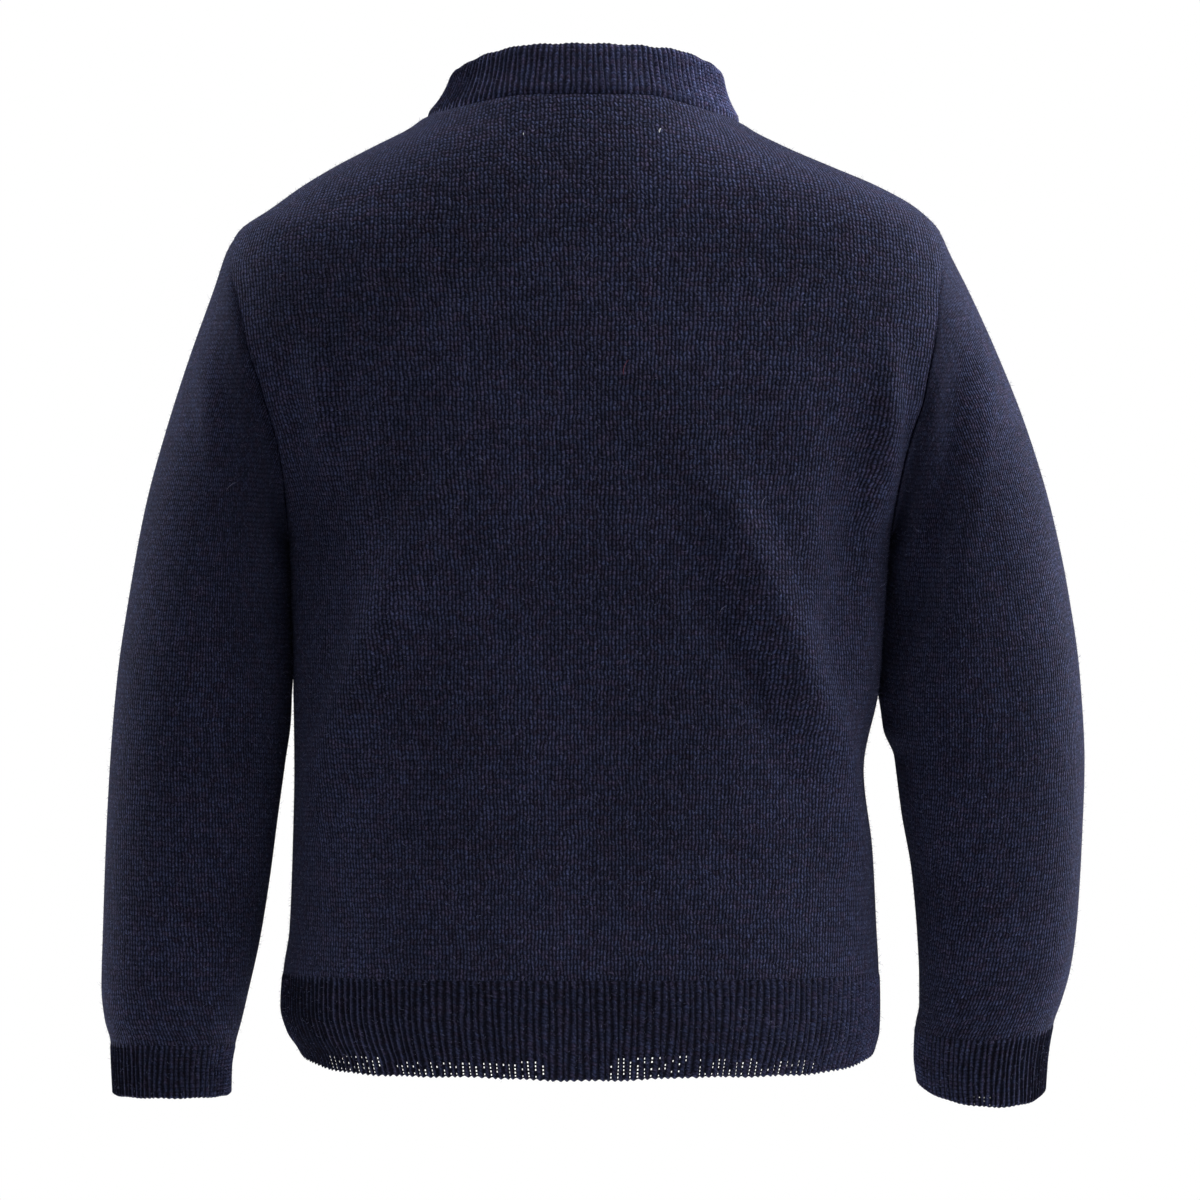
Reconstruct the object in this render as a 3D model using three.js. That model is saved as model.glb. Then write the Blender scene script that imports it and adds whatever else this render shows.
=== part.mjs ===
// A child's crew-neck cardigan in navy wool, in the rounded shape it has when worn, with nobody in it.
// Millimetres. +X is the wearer's right, +Y the wearer's front, +Z up.
// The origin is the middle of the neck opening, at the height where neckband and shoulder seams meet.
//
// The body is one tube. Its level sections are rounded boxes, read from a table of heights, and each
// panel is a patch of that tube between its own seams. A sleeve is a fan of rings: the first is the
// armhole itself, and the last is the edge of the cuff. Every piece is a wall of even thickness.

import * as THREE from 'three';

const cloth = {
  wall: 2.4, // thickness of the knitted cloth
  seamGap: 0.32, // clear space between two pieces at a seam
};

const hem = {
  ribTop: -355, // height where the hem rib starts
  back: -394.5, // height of the lower edge behind
  front: -397.4, // and in front
  dip: 1.5, // how much lower that edge hangs at centre back
  dipReach: 0.45, // share of the half width that dips
  lift: 7.5, // how much higher it is at the side seams
  liftPower: 16, // the larger, the nearer to the side seams it rises
};

// The seam between body and neckband, as seen square on: level and then sloping behind, a scoop in front.
const neckline = {
  back: 9, // its height at centre back
  front: -45, // and at centre front
  point: { left: 3, right: 0.5 }, // and where the shoulder seams meet it
  level: 0.42, // share of the back that is level
  slopePower: 1.1,
  scoopPower: 3,
};

const armhole = {
  deep: 42, // half of its width from back to front
  seamBehind: THREE.MathUtils.degToRad(8), // the shoulder seam meets it this far behind the top
  left: { top: -47.5, bottom: -174 },
  right: { top: -45, bottom: -172 },
};

// Level sections of the body: how far each reaches to the wearer's left, right, back and front, and the
// power of its rounded box, where 2 is an ellipse.
// Between the armholes' bottoms and tops the side reaches are those of the full box that the armholes
// cut into, so they are wider than the cloth itself.
const bodySections = [
  { z: -398, left: 117.5, right: 119.3, back: 83.5, front: 82.0, boxiness: 2.4 },
  { z: -389, left: 119.3, right: 121.0, back: 85.2, front: 84.0, boxiness: 2.45 },
  { z: -380, left: 124.7, right: 123.1, back: 86.6, front: 85.6, boxiness: 2.5 },
  { z: -370, left: 127.3, right: 123.4, back: 87.6, front: 86.8, boxiness: 2.55 },
  { z: -355, left: 126.4, right: 123.1, back: 87.6, front: 87.4, boxiness: 2.6 },
  { z: -338, left: 123.9, right: 122.2, back: 86.4, front: 87.8, boxiness: 2.65 },
  { z: -305, left: 122.6, right: 120.5, back: 83.6, front: 87.6, boxiness: 2.7 },
  { z: -271, left: 121.9, right: 116.8, back: 81.6, front: 86.6, boxiness: 2.75 },
  { z: -237, left: 122.3, right: 123.2, back: 81.0, front: 85.4, boxiness: 2.75 },
  { z: -200, left: 123.2, right: 125.9, back: 81.4, front: 84.6, boxiness: 2.75 },
  { z: -173, left: 124.6, right: 128.0, back: 81.8, front: 84.0, boxiness: 2.7 },
  { z: -158, left: 128.4, right: 132.6, back: 81.6, front: 83.6, boxiness: 2.6 },
  { z: -134, left: 138.0, right: 145.0, back: 80.8, front: 82.8, boxiness: 2.45 },
  { z: -115, left: 148.4, right: 156.6, back: 79.6, front: 81.6, boxiness: 2.35 },
  { z: -90, left: 157.0, right: 162.5, back: 77.2, front: 79.4, boxiness: 2.3 },
  { z: -69, left: 156.0, right: 159.0, back: 74.4, front: 76.6, boxiness: 2.3 },
  { z: -46, left: 145.8, right: 149.4, back: 71.0, front: 72.5, boxiness: 2.3 },
  { z: -36, left: 131.8, right: 139.4, back: 69.2, front: 70.0, boxiness: 2.3 },
  { z: -27, left: 119.2, right: 123.6, back: 67.2, front: 67.0, boxiness: 2.3 },
  { z: -19, left: 106.0, right: 104.8, back: 65.0, front: 64.0, boxiness: 2.25 },
  { z: -10, left: 88.8, right: 83.8, back: 62.0, front: 60.0, boxiness: 2.2 },
  { z: -2, left: 73.2, right: 68.6, back: 59.0, front: 55.5, boxiness: 2.15 },
  { z: 3, left: 67.2, right: 63.6, back: 56.8, front: 53.0, boxiness: 2.1 },
  { z: 10, left: 60.5, right: 58.5, back: 54.0, front: 50.0, boxiness: 2.1 },
];

// The neckband, from centre front by the wearer's left, the back and the right to centre front again:
// the turn in degrees, how far it leans in towards its upper edge, and how tall it is.
const neckbandSections = [
  { turn: 90, lean: 13, tall: 21.3 },
  { turn: 135, lean: 12.6, tall: 21.3 },
  { turn: 180, lean: 11.5, tall: 21.3 },
  { turn: 205, lean: 9, tall: 21.3 },
  { turn: 225, lean: 5.9, tall: 21.3 },
  { turn: 270, lean: 4, tall: 21.3 },
  { turn: 300, lean: 4.2, tall: 20.8 },
  { turn: 318, lean: 4.8, tall: 22.8 },
  { turn: 338, lean: 6.6, tall: 22.9 },
  { turn: 360, lean: 8, tall: 21.3 },
  { turn: 405, lean: 11.7, tall: 21.3 },
  { turn: 450, lean: 13, tall: 21.3 },
];
const neckbandWaist = 1.6; // how far the neckband's sides are drawn in at half their height

const bands = { width: 24, ease: 13 }; // button bands, and the cloth beside them that steps up or down
const lapShift = (cloth.wall + cloth.seamGap) / 2; // half of the step between the two lapped bands

const button = {
  radius: 6.25,
  thick: 2.4,
  holeRadius: 0.95,
  holeOut: 1.75, // from the button's middle to each of its four holes
  clear: 0.4, // between button and band
};
const buttonHeights = [-378, -313, -247, -181, -115]; // and one more on the neckband

// How many cells each piece has along its rows and up its zones.
const cells = { back: 24, front: 11, lap: 3, hem: 3, side: 11, armhole: 9, shoulder: 4, neckband: 3 };
const rowBend = { up: 1.5, across: 3 }; // powers that set how a panel's rows bend to follow its seams

// Small steps over which slopes of the surfaces are measured.
const nudge = { turn: 0.004, rise: 0.6, ring: 0.05 };

// Rings of a sleeve, from the armhole down: the outer and the inner end of each ring, its half width
// from back to front, how far its middle lies to the front, and how much lower its back hangs.
const cuffRow = 13; // the row where the cuff's rib starts
const sleeveHead = { bendRings: 4, foldRings: 1.5 }; // rings that keep the armhole's bend, or have no folds
const sleeveRings = {
  left: [
    { outX: 146.0, outZ: -47.9, inX: 124.9, inZ: -174.0, deep: 42.0, mid: 0.0, sag: 0.0 },
    { outX: 149.8, outZ: -54.0, inX: 125.0, inZ: -178.5, deep: 43.2, mid: 0.0, sag: 0.0 },
    { outX: 155.6, outZ: -70.0, inX: 124.8, inZ: -186.0, deep: 43.6, mid: 0.0, sag: 0.0 },
    { outX: 165.2, outZ: -96.0, inX: 123.8, inZ: -197.0, deep: 43.2, mid: 0.0, sag: 0.0 },
    { outX: 175.3, outZ: -127.0, inX: 123.4, inZ: -211.0, deep: 42.4, mid: 0.0, sag: 0.0 },
    { outX: 184.3, outZ: -160.0, inX: 122.9, inZ: -229.0, deep: 41.4, mid: 0.0, sag: 0.0 },
    { outX: 191.2, outZ: -197.0, inX: 123.4, inZ: -249.0, deep: 40.2, mid: 0.5, sag: 0.0 },
    { outX: 196.4, outZ: -232.0, inX: 126.0, inZ: -269.0, deep: 38.8, mid: 1.0, sag: 0.5 },
    { outX: 199.5, outZ: -268.0, inX: 129.0, inZ: -291.0, deep: 37.0, mid: 1.5, sag: 1.0 },
    { outX: 201.4, outZ: -304.0, inX: 132.4, inZ: -317.0, deep: 34.6, mid: 2.0, sag: 1.0 },
    { outX: 202.6, outZ: -338.0, inX: 136.6, inZ: -343.0, deep: 31.6, mid: 2.5, sag: 0.5 },
    { outX: 203.3, outZ: -362.0, inX: 141.3, inZ: -364.0, deep: 29.2, mid: 3.0, sag: 0.0 },
    { outX: 201.9, outZ: -376.5, inX: 144.5, inZ: -377.5, deep: 27.4, mid: 3.5, sag: 0.0 },
    { outX: 199.5, outZ: -385.5, inX: 146.8, inZ: -386.0, deep: 25.8, mid: 3.5, sag: 0.0 },
    { outX: 199.0, outZ: -396.5, inX: 148.7, inZ: -397.0, deep: 25.0, mid: 4.0, sag: 0.0 },
    { outX: 198.4, outZ: -408.2, inX: 149.0, inZ: -408.2, deep: 25.2, mid: 4.0, sag: 0.0 },
  ],
  right: [
    { outX: 149.4, outZ: -45.4, inX: 128.4, inZ: -172.0, deep: 42.0, mid: 0.0, sag: 0.0 },
    { outX: 153.0, outZ: -54.0, inX: 128.6, inZ: -176.5, deep: 43.2, mid: 0.0, sag: 0.0 },
    { outX: 161.0, outZ: -70.0, inX: 127.8, inZ: -184.0, deep: 43.8, mid: 0.0, sag: 0.0 },
    { outX: 172.8, outZ: -96.0, inX: 126.9, inZ: -195.0, deep: 43.6, mid: 0.0, sag: 0.0 },
    { outX: 185.2, outZ: -127.5, inX: 126.1, inZ: -211.0, deep: 43.0, mid: 0.0, sag: 0.0 },
    { outX: 195.4, outZ: -161.0, inX: 124.9, inZ: -229.0, deep: 42.2, mid: 0.0, sag: 0.0 },
    { outX: 203.0, outZ: -197.0, inX: 127.2, inZ: -247.0, deep: 41.2, mid: 0.5, sag: 0.0 },
    { outX: 207.9, outZ: -232.0, inX: 130.0, inZ: -267.0, deep: 40.0, mid: 1.0, sag: 1.0 },
    { outX: 209.9, outZ: -268.0, inX: 133.0, inZ: -290.0, deep: 38.2, mid: 2.0, sag: 2.5 },
    { outX: 208.9, outZ: -301.0, inX: 137.2, inZ: -314.0, deep: 35.8, mid: 3.5, sag: 4.0 },
    { outX: 207.0, outZ: -334.0, inX: 139.5, inZ: -339.0, deep: 32.6, mid: 5.0, sag: 5.0 },
    { outX: 204.4, outZ: -354.0, inX: 140.5, inZ: -358.0, deep: 30.0, mid: 6.5, sag: 5.5 },
    { outX: 200.6, outZ: -368.0, inX: 140.6, inZ: -371.0, deep: 28.6, mid: 7.5, sag: 5.5 },
    { outX: 197.4, outZ: -377.0, inX: 139.2, inZ: -379.0, deep: 27.8, mid: 8.0, sag: 5.5 },
    { outX: 194.8, outZ: -392.0, inX: 138.6, inZ: -392.5, deep: 27.0, mid: 8.5, sag: 6.5 },
    { outX: 193.8, outZ: -406.4, inX: 139.8, inZ: -402.8, deep: 26.6, mid: 9.0, sag: 7.5 },
  ],
};

// Folds as seen square on from behind or from the front: where each starts and ends, how far its
// middle bows sideways, its half width, and its height (a trough is negative).
const foldShape = { endShare: 0.35, facing: [0.1, 0.5] }; // height left at its ends; where it fades out
const folds = {
  back: [
    { x0: -60, z0: -160, x1: -110, z1: -286, bow: -3, wide: 20, high: 3.6 },
    { x0: 48, z0: -142, x1: 115, z1: -306, bow: 5, wide: 20, high: 4.4 },
    { x0: 38, z0: -180, x1: 84, z1: -268, bow: 2, wide: 15, high: -2.2 },
    { x0: -108, z0: -120, x1: -104, z1: -240, bow: -3, wide: 18, high: -3.4 },
    { x0: 114, z0: -130, x1: 106, z1: -226, bow: 4, wide: 16, high: -3.6 },
    { x0: -114, z0: -96, x1: -109, z1: -152, bow: 2, wide: 9, high: 2.0 },
    { x0: 124, z0: -100, x1: 122, z1: -165, bow: 2, wide: 9, high: 2.0 },
  ],
  front: [
    { x0: 58, z0: -150, x1: 106, z1: -280, bow: -4, wide: 20, high: 3.2 },
    { x0: -50, z0: -146, x1: -108, z1: -300, bow: 4, wide: 21, high: 3.8 },
    { x0: -42, z0: -190, x1: -78, z1: -262, bow: 2, wide: 15, high: -2.0 },
    { x0: 106, z0: -118, x1: 102, z1: -232, bow: 3, wide: 18, high: -3.2 },
    { x0: -108, z0: -126, x1: -104, z1: -236, bow: -3, wide: 17, high: -3.4 },
  ],
  sleeveBack: [
    { x0: 158, z0: -98, x1: 136, z1: -214, bow: 4, wide: 15, high: -4.6 },
    { x0: -146, z0: -108, x1: -140, z1: -168, bow: -2, wide: 12, high: -2.4 },
  ],
  sleeveFront: [
    { x0: 152, z0: -112, x1: 142, z1: -196, bow: 3, wide: 15, high: -3.6 },
    { x0: -150, z0: -104, x1: -138, z1: -190, bow: -3, wide: 14, high: -3.4 },
  ],
};

const navy = 0x1e1f2d;
const finishes = {
  panel: () => new THREE.MeshStandardMaterial({ color: navy, roughness: 0.95, metalness: 0 }),
  rib: () => new THREE.MeshStandardMaterial({ color: 0x191a26, roughness: 0.95, metalness: 0 }),
  button: () => new THREE.MeshStandardMaterial({ color: 0x14151f, roughness: 0.4, metalness: 0 }),
};

const { lerp, clamp, smoothstep, degToRad } = THREE.MathUtils;
const fullTurn = 2 * Math.PI;
const leftSide = degToRad(180);
const rightSide = degToRad(360);
const front = degToRad(90);

// ---- reading the tables

function slopeBetween(rows, key, column, i) {
  return (rows[i + 1][column] - rows[i][column]) / (rows[i + 1][key] - rows[i][key]);
}

// The tangent at row i of a curve that never overshoots the rows of its table.
function tangentAt(rows, key, column, i) {
  if (i === 0) return slopeBetween(rows, key, column, 0);
  if (i === rows.length - 1) return slopeBetween(rows, key, column, i - 1);
  const before = slopeBetween(rows, key, column, i - 1);
  const after = slopeBetween(rows, key, column, i);
  return before * after <= 0 ? 0 : (2 * before * after) / (before + after);
}

function readTable(rows, key, at) {
  const value = clamp(at, rows[0][key], rows[rows.length - 1][key]);
  let i = rows.findIndex((row) => row[key] > value) - 1;
  if (i < 0) i = rows.length - 2;
  const span = rows[i + 1][key] - rows[i][key];
  const t = (value - rows[i][key]) / span;
  const result = {};
  for (const column of Object.keys(rows[0])) {
    const a = rows[i][column];
    const b = rows[i + 1][column];
    const leave = tangentAt(rows, key, column, i) * span;
    const arrive = tangentAt(rows, key, column, i + 1) * span;
    const turn = t * (1 - t) * (1 - t) * leave - t * t * (1 - t) * arrive;
    result[column] = lerp(a, b, t * t * (3 - 2 * t)) + turn;
  }
  return result;
}

// ---- folds

function foldLift(list, x, z) {
  let lift = 0;
  for (const fold of list) {
    const alongX = fold.x1 - fold.x0;
    const alongZ = fold.z1 - fold.z0;
    const length = Math.hypot(alongX, alongZ);
    const t = clamp(((x - fold.x0) * alongX + (z - fold.z0) * alongZ) / length ** 2, 0, 1);
    const bow = fold.bow * 4 * t * (1 - t);
    const nearX = fold.x0 + alongX * t - (alongZ / length) * bow;
    const nearZ = fold.z0 + alongZ * t + (alongX / length) * bow;
    const away = Math.min(1, Math.hypot(x - nearX, z - nearZ) / fold.wide);
    const along = lerp(foldShape.endShare, 1, Math.sin(Math.PI * t));
    lift += fold.high * (1 - away ** 2) ** 2 * along;
  }
  return lift;
}

// Moves a point out along its normal by the folds on the side that it faces.
function folded(point, normal, backFolds, frontFolds) {
  const list = normal.y < 0 ? backFolds : frontFolds;
  const facing = smoothstep(Math.abs(normal.y), ...foldShape.facing);
  return point.addScaledVector(normal, facing * foldLift(list, point.x, point.z));
}

// ---- the surface of the body

function roundedBox(angle, reach) {
  const c = Math.cos(angle);
  const s = Math.sin(angle);
  const across = Math.abs(c) / (c < 0 ? reach.left : reach.right);
  const along = Math.abs(s) / (s < 0 ? reach.back : reach.front);
  const radius = (across ** reach.boxiness + along ** reach.boxiness) ** (-1 / reach.boxiness);
  return [radius * c, radius * s];
}

function bareBodyPoint(angle, z) {
  const [x, y] = roundedBox(angle, readTable(bodySections, 'z', z));
  return new THREE.Vector3(x, y, z);
}

function bodyNormal(angle, z) {
  const around = bareBodyPoint(angle + nudge.turn, z).sub(bareBodyPoint(angle - nudge.turn, z));
  const up = bareBodyPoint(angle, z + nudge.rise).sub(bareBodyPoint(angle, z - nudge.rise));
  return around.cross(up).normalize();
}

// A point of the body's outer surface, moved out by shift.
function bodyPoint(angle, z, shift = 0) {
  const normal = bodyNormal(angle, z);
  return folded(bareBodyPoint(angle, z), normal, folds.back, folds.front).addScaledVector(normal, shift);
}

function sideOf(angle) {
  return Math.cos(angle) < 0 ? 'left' : 'right';
}

// The angle of the point at depth y on one side of the body, at one height.
function angleAtDepth(side, y, z) {
  const reach = readTable(bodySections, 'z', z);
  const share = Math.abs(y) / (y < 0 ? reach.back : reach.front);
  const x = reach[side] * (1 - share ** reach.boxiness) ** (1 / reach.boxiness);
  const angle = Math.atan2(y, side === 'left' ? -x : x);
  return angle < 0 || (side === 'right' && y <= 0) ? angle + fullTurn : angle;
}

// The angle at which the front's surface is x from the middle, at one height.
function angleAtFront(x, z) {
  return Math.atan2(readTable(bodySections, 'z', z).front, x);
}

// The armhole seam: turn is 0 at its top, half a turn at the underarm, and passes the back first.
function armholeSeam(side, turn) {
  const { top, bottom } = armhole[side];
  const z = (top + bottom) / 2 + ((top - bottom) / 2) * Math.cos(turn);
  const y = -armhole.deep * Math.sin(turn);
  return { angle: angleAtDepth(side, y, z), z };
}

function armholeNormal(side, turn) {
  const { top, bottom } = armhole[side];
  const tall = (top - bottom) / 2;
  return new THREE.Vector3(0, -Math.sin(turn) / armhole.deep, Math.cos(turn) / tall).normalize();
}

function armholePoint(side, turn) {
  const { angle, z } = armholeSeam(side, turn);
  return bodyPoint(angle, z);
}

// Height of the neckband seam where the point of the surface below it is across from the middle, as a
// share of the half width.
function neckSeamAcross(across, side, isFront) {
  const point = neckline.point[side];
  if (isFront) return lerp(neckline.front, point, across ** neckline.scoopPower);
  const slope = Math.max(0, (across - neckline.level) / (1 - neckline.level));
  return lerp(neckline.back, point, slope ** neckline.slopePower);
}

// Height of the neckband seam at an angle, found by halving.
function neckSeamHeight(angle) {
  const side = sideOf(angle);
  const reach = readTable(bodySections, 'z', neckline.point[side])[side];
  const isFront = Math.sin(angle) > 0;
  const halvings = 24;
  let low = neckline.front - 2;
  let high = neckline.back + 2;
  for (let i = 0; i < halvings; i++) {
    const z = (low + high) / 2;
    const across = Math.min(1, Math.abs(bareBodyPoint(angle, z).x) / reach);
    if (z < neckSeamAcross(across, side, isFront)) low = z;
    else high = z;
  }
  return (low + high) / 2;
}

function hemHeight(angle) {
  const across = Math.abs(Math.cos(angle));
  const level = lerp(hem.back, hem.front, (1 + Math.sin(angle)) / 2);
  const dip = Math.sin(angle) < 0 ? hem.dip * Math.max(0, 1 - (across / hem.dipReach) ** 2) : 0;
  return level - dip + hem.lift * across ** hem.liftPower;
}

// ---- walls

// Closes a grid of outer points into a wall, going in along the inward directions beside them.
// A looped grid joins its last column to its first. The edge faces are all cut along the same diagonal,
// so that those of two pieces lie parallel across a seam.
function wall({ outer, inward }, looped) {
  const rows = outer.length;
  const columns = outer[0].length;
  const layer = rows * columns;
  const positions = [];
  for (const row of outer) for (const p of row) positions.push(p.x, p.y, p.z);
  outer.forEach((row, r) => row.forEach((p, c) => {
    const q = p.clone().addScaledVector(inward[r][c], cloth.wall);
    positions.push(q.x, q.y, q.z);
  }));
  const index = [];
  const quad = (a, b, c, d) => index.push(a, b, c, a, c, d);
  const at = (r, c) => r * columns + (c % columns);
  const columnCells = looped ? columns : columns - 1;
  for (let c = 0; c < columnCells; c++) {
    for (let r = 0; r < rows - 1; r++) {
      const ring = [at(r, c), at(r, c + 1), at(r + 1, c + 1), at(r + 1, c)];
      quad(...ring);
      quad(...ring.map((i) => i + layer).reverse());
    }
    quad(at(0, c), at(0, c) + layer, at(0, c + 1) + layer, at(0, c + 1));
    const last = rows - 1;
    quad(at(last, c), at(last, c + 1), at(last, c + 1) + layer, at(last, c) + layer);
  }
  if (!looped) {
    for (let r = 0; r < rows - 1; r++) {
      quad(at(r, 0), at(r + 1, 0), at(r + 1, 0) + layer, at(r, 0) + layer);
      const end = columns - 1;
      quad(at(r, end), at(r, end) + layer, at(r + 1, end) + layer, at(r + 1, end));
    }
  }
  const geometry = new THREE.BufferGeometry();
  geometry.setAttribute('position', new THREE.Float32BufferAttribute(positions, 3));
  geometry.setIndex(signedVolume(positions, index) < 0 ? index.reverse() : index);
  geometry.computeVertexNormals();
  return geometry;
}

function signedVolume(positions, index) {
  const corner = (i) => new THREE.Vector3().fromArray(positions, 3 * i);
  let volume = 0;
  for (let i = 0; i < index.length; i += 3) {
    const [a, b, c] = [corner(index[i]), corner(index[i + 1]), corner(index[i + 2])];
    volume += a.dot(b.cross(c)) / 6;
  }
  return volume;
}

// Moves a point of a seam away from it, towards next, until its wall's edge face has gone back by half
// of the seam gap. before and after are its neighbours along the seam.
function drawPointBack(point, next, before, after, inward) {
  const along = after.clone().sub(before).normalize();
  const away = next.clone().sub(point).projectOnPlane(along).normalize();
  const face = along.cross(inward).normalize();
  return point.clone().addScaledVector(away, cloth.seamGap / 2 / Math.abs(away.dot(face)));
}

// Draws the rows or columns at a grid's named edges back by half of the seam gap.
function drawBack({ outer, inward }, edges, looped = false) {
  for (const edge of edges) {
    const isRow = edge === 'bottom' || edge === 'top';
    const isStart = edge === 'bottom' || edge === 'first';
    const own = isStart ? 0 : (isRow ? outer.length : outer[0].length) - 1;
    const next = isStart ? 1 : own - 1;
    const line = isRow ? outer[own] : outer.map((row) => row[own]);
    const end = line.length - 1;
    const neighbour = (i) => line[looped ? (i + line.length) % line.length : clamp(i, 0, end)];
    const moved = line.map((point, i) => {
      const [r, c] = isRow ? [own, i] : [i, own];
      const beside = isRow ? outer[next][i] : outer[i][next];
      return drawPointBack(point, beside, neighbour(i - 1), neighbour(i + 1), inward[r][c]);
    });
    moved.forEach((point, i) => line[i].copy(point));
  }
}

// ---- rows of the body panels

// A row is named by its zone and by how far up that zone it is, from 0 to 1.
function zoneRows(zone, count, first = 0) {
  return Array.from({ length: count + 1 - first }, (_, i) => ({ zone, t: (i + first) / count }));
}

const hemRows = zoneRows('hem', cells.hem);
const panelRows = [
  ...zoneRows('side', cells.side),
  ...zoneRows('armhole', cells.armhole, 1),
  ...zoneRows('shoulder', cells.shoulder, 1),
].map((row, i, all) => ({ ...row, climb: i / (all.length - 1) }));

// Where a row meets the seam at one side: the angle and height there, for the back or the front.
function rowEnd(row, side, isBack) {
  const sideAngle = side === 'left' ? leftSide : isBack ? rightSide : 0;
  if (row.zone === 'side') {
    return { angle: sideAngle, z: lerp(hem.ribTop, armhole[side].bottom, row.t) };
  }
  const topTurn = armhole.seamBehind + (isBack ? 0 : fullTurn);
  if (row.zone === 'armhole') {
    const turn = lerp(Math.PI, topTurn, row.t);
    const { angle, z } = armholeSeam(side, turn);
    const isPastRight = !isBack && side === 'right' && angle > Math.PI;
    return { angle: isPastRight ? angle - fullTurn : angle, z, turn };
  }
  const tip = armholeSeam(side, topTurn);
  const tipAngle = !isBack && side === 'right' ? tip.angle - fullTurn : tip.angle;
  return { angle: lerp(tipAngle, sideAngle, row.t), z: lerp(tip.z, neckline.point[side], row.t) };
}

// The height of a row at one neck angle. At the sides it follows the seams there, and bends to the neck
// seam further up. In the middle of a panel the rows are evenly spaced.
function rowHeight(row, neckAngle, isBack) {
  if (row.zone === 'hem') return lerp(hemHeight(neckAngle), hem.ribTop, row.t);
  const share = (1 + Math.cos(neckAngle)) / 2;
  const z = lerp(rowEnd(row, 'left', isBack).z, rowEnd(row, 'right', isBack).z, share);
  const underarm = lerp(armhole.left.bottom, armhole.right.bottom, share);
  const neckPoint = lerp(neckline.point.left, neckline.point.right, share);
  const bend = clamp((z - underarm) / (neckPoint - underarm), 0, 1) ** rowBend.up;
  const neckSeam = neckSeamHeight(neckAngle);
  const atSide = z + bend * (neckSeam - neckPoint);
  const inMiddle = lerp(hem.ribTop, neckSeam, row.climb);
  return lerp(inMiddle, atSide, Math.abs(Math.cos(neckAngle)) ** rowBend.across);
}

// A panel's grid. columns are neck angles, and place(row, neckAngle, z, c) gives each point's angle.
function bodyGrid(rows, columns, isBack, place, shiftOf) {
  const outer = [];
  const inward = [];
  for (const row of rows) {
    const isNeck = row.zone === 'shoulder' && row.t === 1;
    const places = columns.map((neckAngle, c) => {
      const z = rowHeight(row, neckAngle, isBack);
      return { neckAngle, z, angle: place(row, neckAngle, z, c) };
    });
    outer.push(places.map(({ angle, z }) => bodyPoint(angle, z, shiftOf(bareBodyPoint(angle, z).x))));
    inward.push(places.map(({ neckAngle, angle, z }) => (
      isNeck ? neckSeamNormal(neckAngle) : bodyNormal(angle, z)).negate()));
  }
  return { outer, inward };
}

// Moves points of an armhole by half of the seam gap: away from the body, or with towards -1 into it.
function openArmholeGap(points, side, towards) {
  const step = towards * (side === 'left' ? -1 : 1) * cloth.seamGap / 2;
  for (const point of points) point.x += step;
}

// Turns the cut edge of a panel along the armhole into the armhole's plane, and opens the seam gap.
function finishArmholeEdge({ outer, inward }, rows, side, isBack, column) {
  rows.forEach((row, r) => {
    const { turn } = rowEnd(row, side, isBack);
    const isUnderarm = row.zone === 'side' && row.t === 1;
    if (turn === undefined && !isUnderarm) return;
    inward[r][column] = armholeNormal(side, isUnderarm ? Math.PI : turn).negate();
    openArmholeGap([outer[r][column]], side, -1);
  });
}

function evenly(from, to, count) {
  return Array.from({ length: count + 1 }, (_, i) => lerp(from, to, i / count));
}

// ---- front lap: the wearer's right band lies over the left one

function frontLapShift(side, x) {
  const edge = bands.width / 2;
  const step = 1 - smoothstep(Math.abs(x), edge, edge + bands.ease);
  return (side === 'right' ? 1 : -1) * lapShift * step;
}

const bandEdge = { left: -bands.width / 2, right: bands.width / 2 };
const neckBandAngle = {
  left: angleAtFront(bandEdge.left, neckline.front),
  right: angleAtFront(bandEdge.right, neckline.front),
};
const backColumns = evenly(leftSide, rightSide, cells.back);
const frontColumns = {
  left: evenly(leftSide, neckBandAngle.left, cells.front),
  right: evenly(0, neckBandAngle.right, cells.front),
};
const lapAcross = evenly(bandEdge.right, bandEdge.left, cells.lap);
const lapAngles = lapAcross.map((x) => angleAtFront(x, neckline.front));

// ---- neckband

// A point of the neckband before waist and lap, t of the way up it.
function bareNeckbandPoint(angle, t) {
  const turn = THREE.MathUtils.euclideanModulo(angle - front, fullTurn) + front;
  const { lean, tall } = readTable(neckbandSections, 'turn', THREE.MathUtils.radToDeg(turn));
  const rise = Math.sqrt(tall ** 2 - lean ** 2);
  const up = new THREE.Vector3(-lean * Math.cos(angle), -lean * Math.sin(angle), rise);
  return bareBodyPoint(angle, neckSeamHeight(angle)).addScaledVector(up, t);
}

function neckbandNormal(angle) {
  const around = bareNeckbandPoint(angle + nudge.turn, 0).sub(bareNeckbandPoint(angle - nudge.turn, 0));
  const up = bareNeckbandPoint(angle, 1).sub(bareNeckbandPoint(angle, 0));
  return around.cross(up).normalize();
}

// A point of the neckband, moved out by shift, which turns from the body's normal to its own.
function neckbandPoint(angle, t, shift = 0) {
  const waist = neckbandWaist * Math.abs(Math.cos(angle)) * 4 * t * (1 - t);
  const own = neckbandNormal(angle);
  const out = bodyNormal(angle, neckSeamHeight(angle)).lerp(own, t).normalize();
  return bareNeckbandPoint(angle, t).addScaledVector(own, -waist).addScaledVector(out, shift);
}

// The direction shared by the body and the neckband where they are sewn together.
function neckSeamNormal(angle) {
  return bodyNormal(angle, neckSeamHeight(angle)).add(neckbandNormal(angle)).normalize();
}

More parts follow.
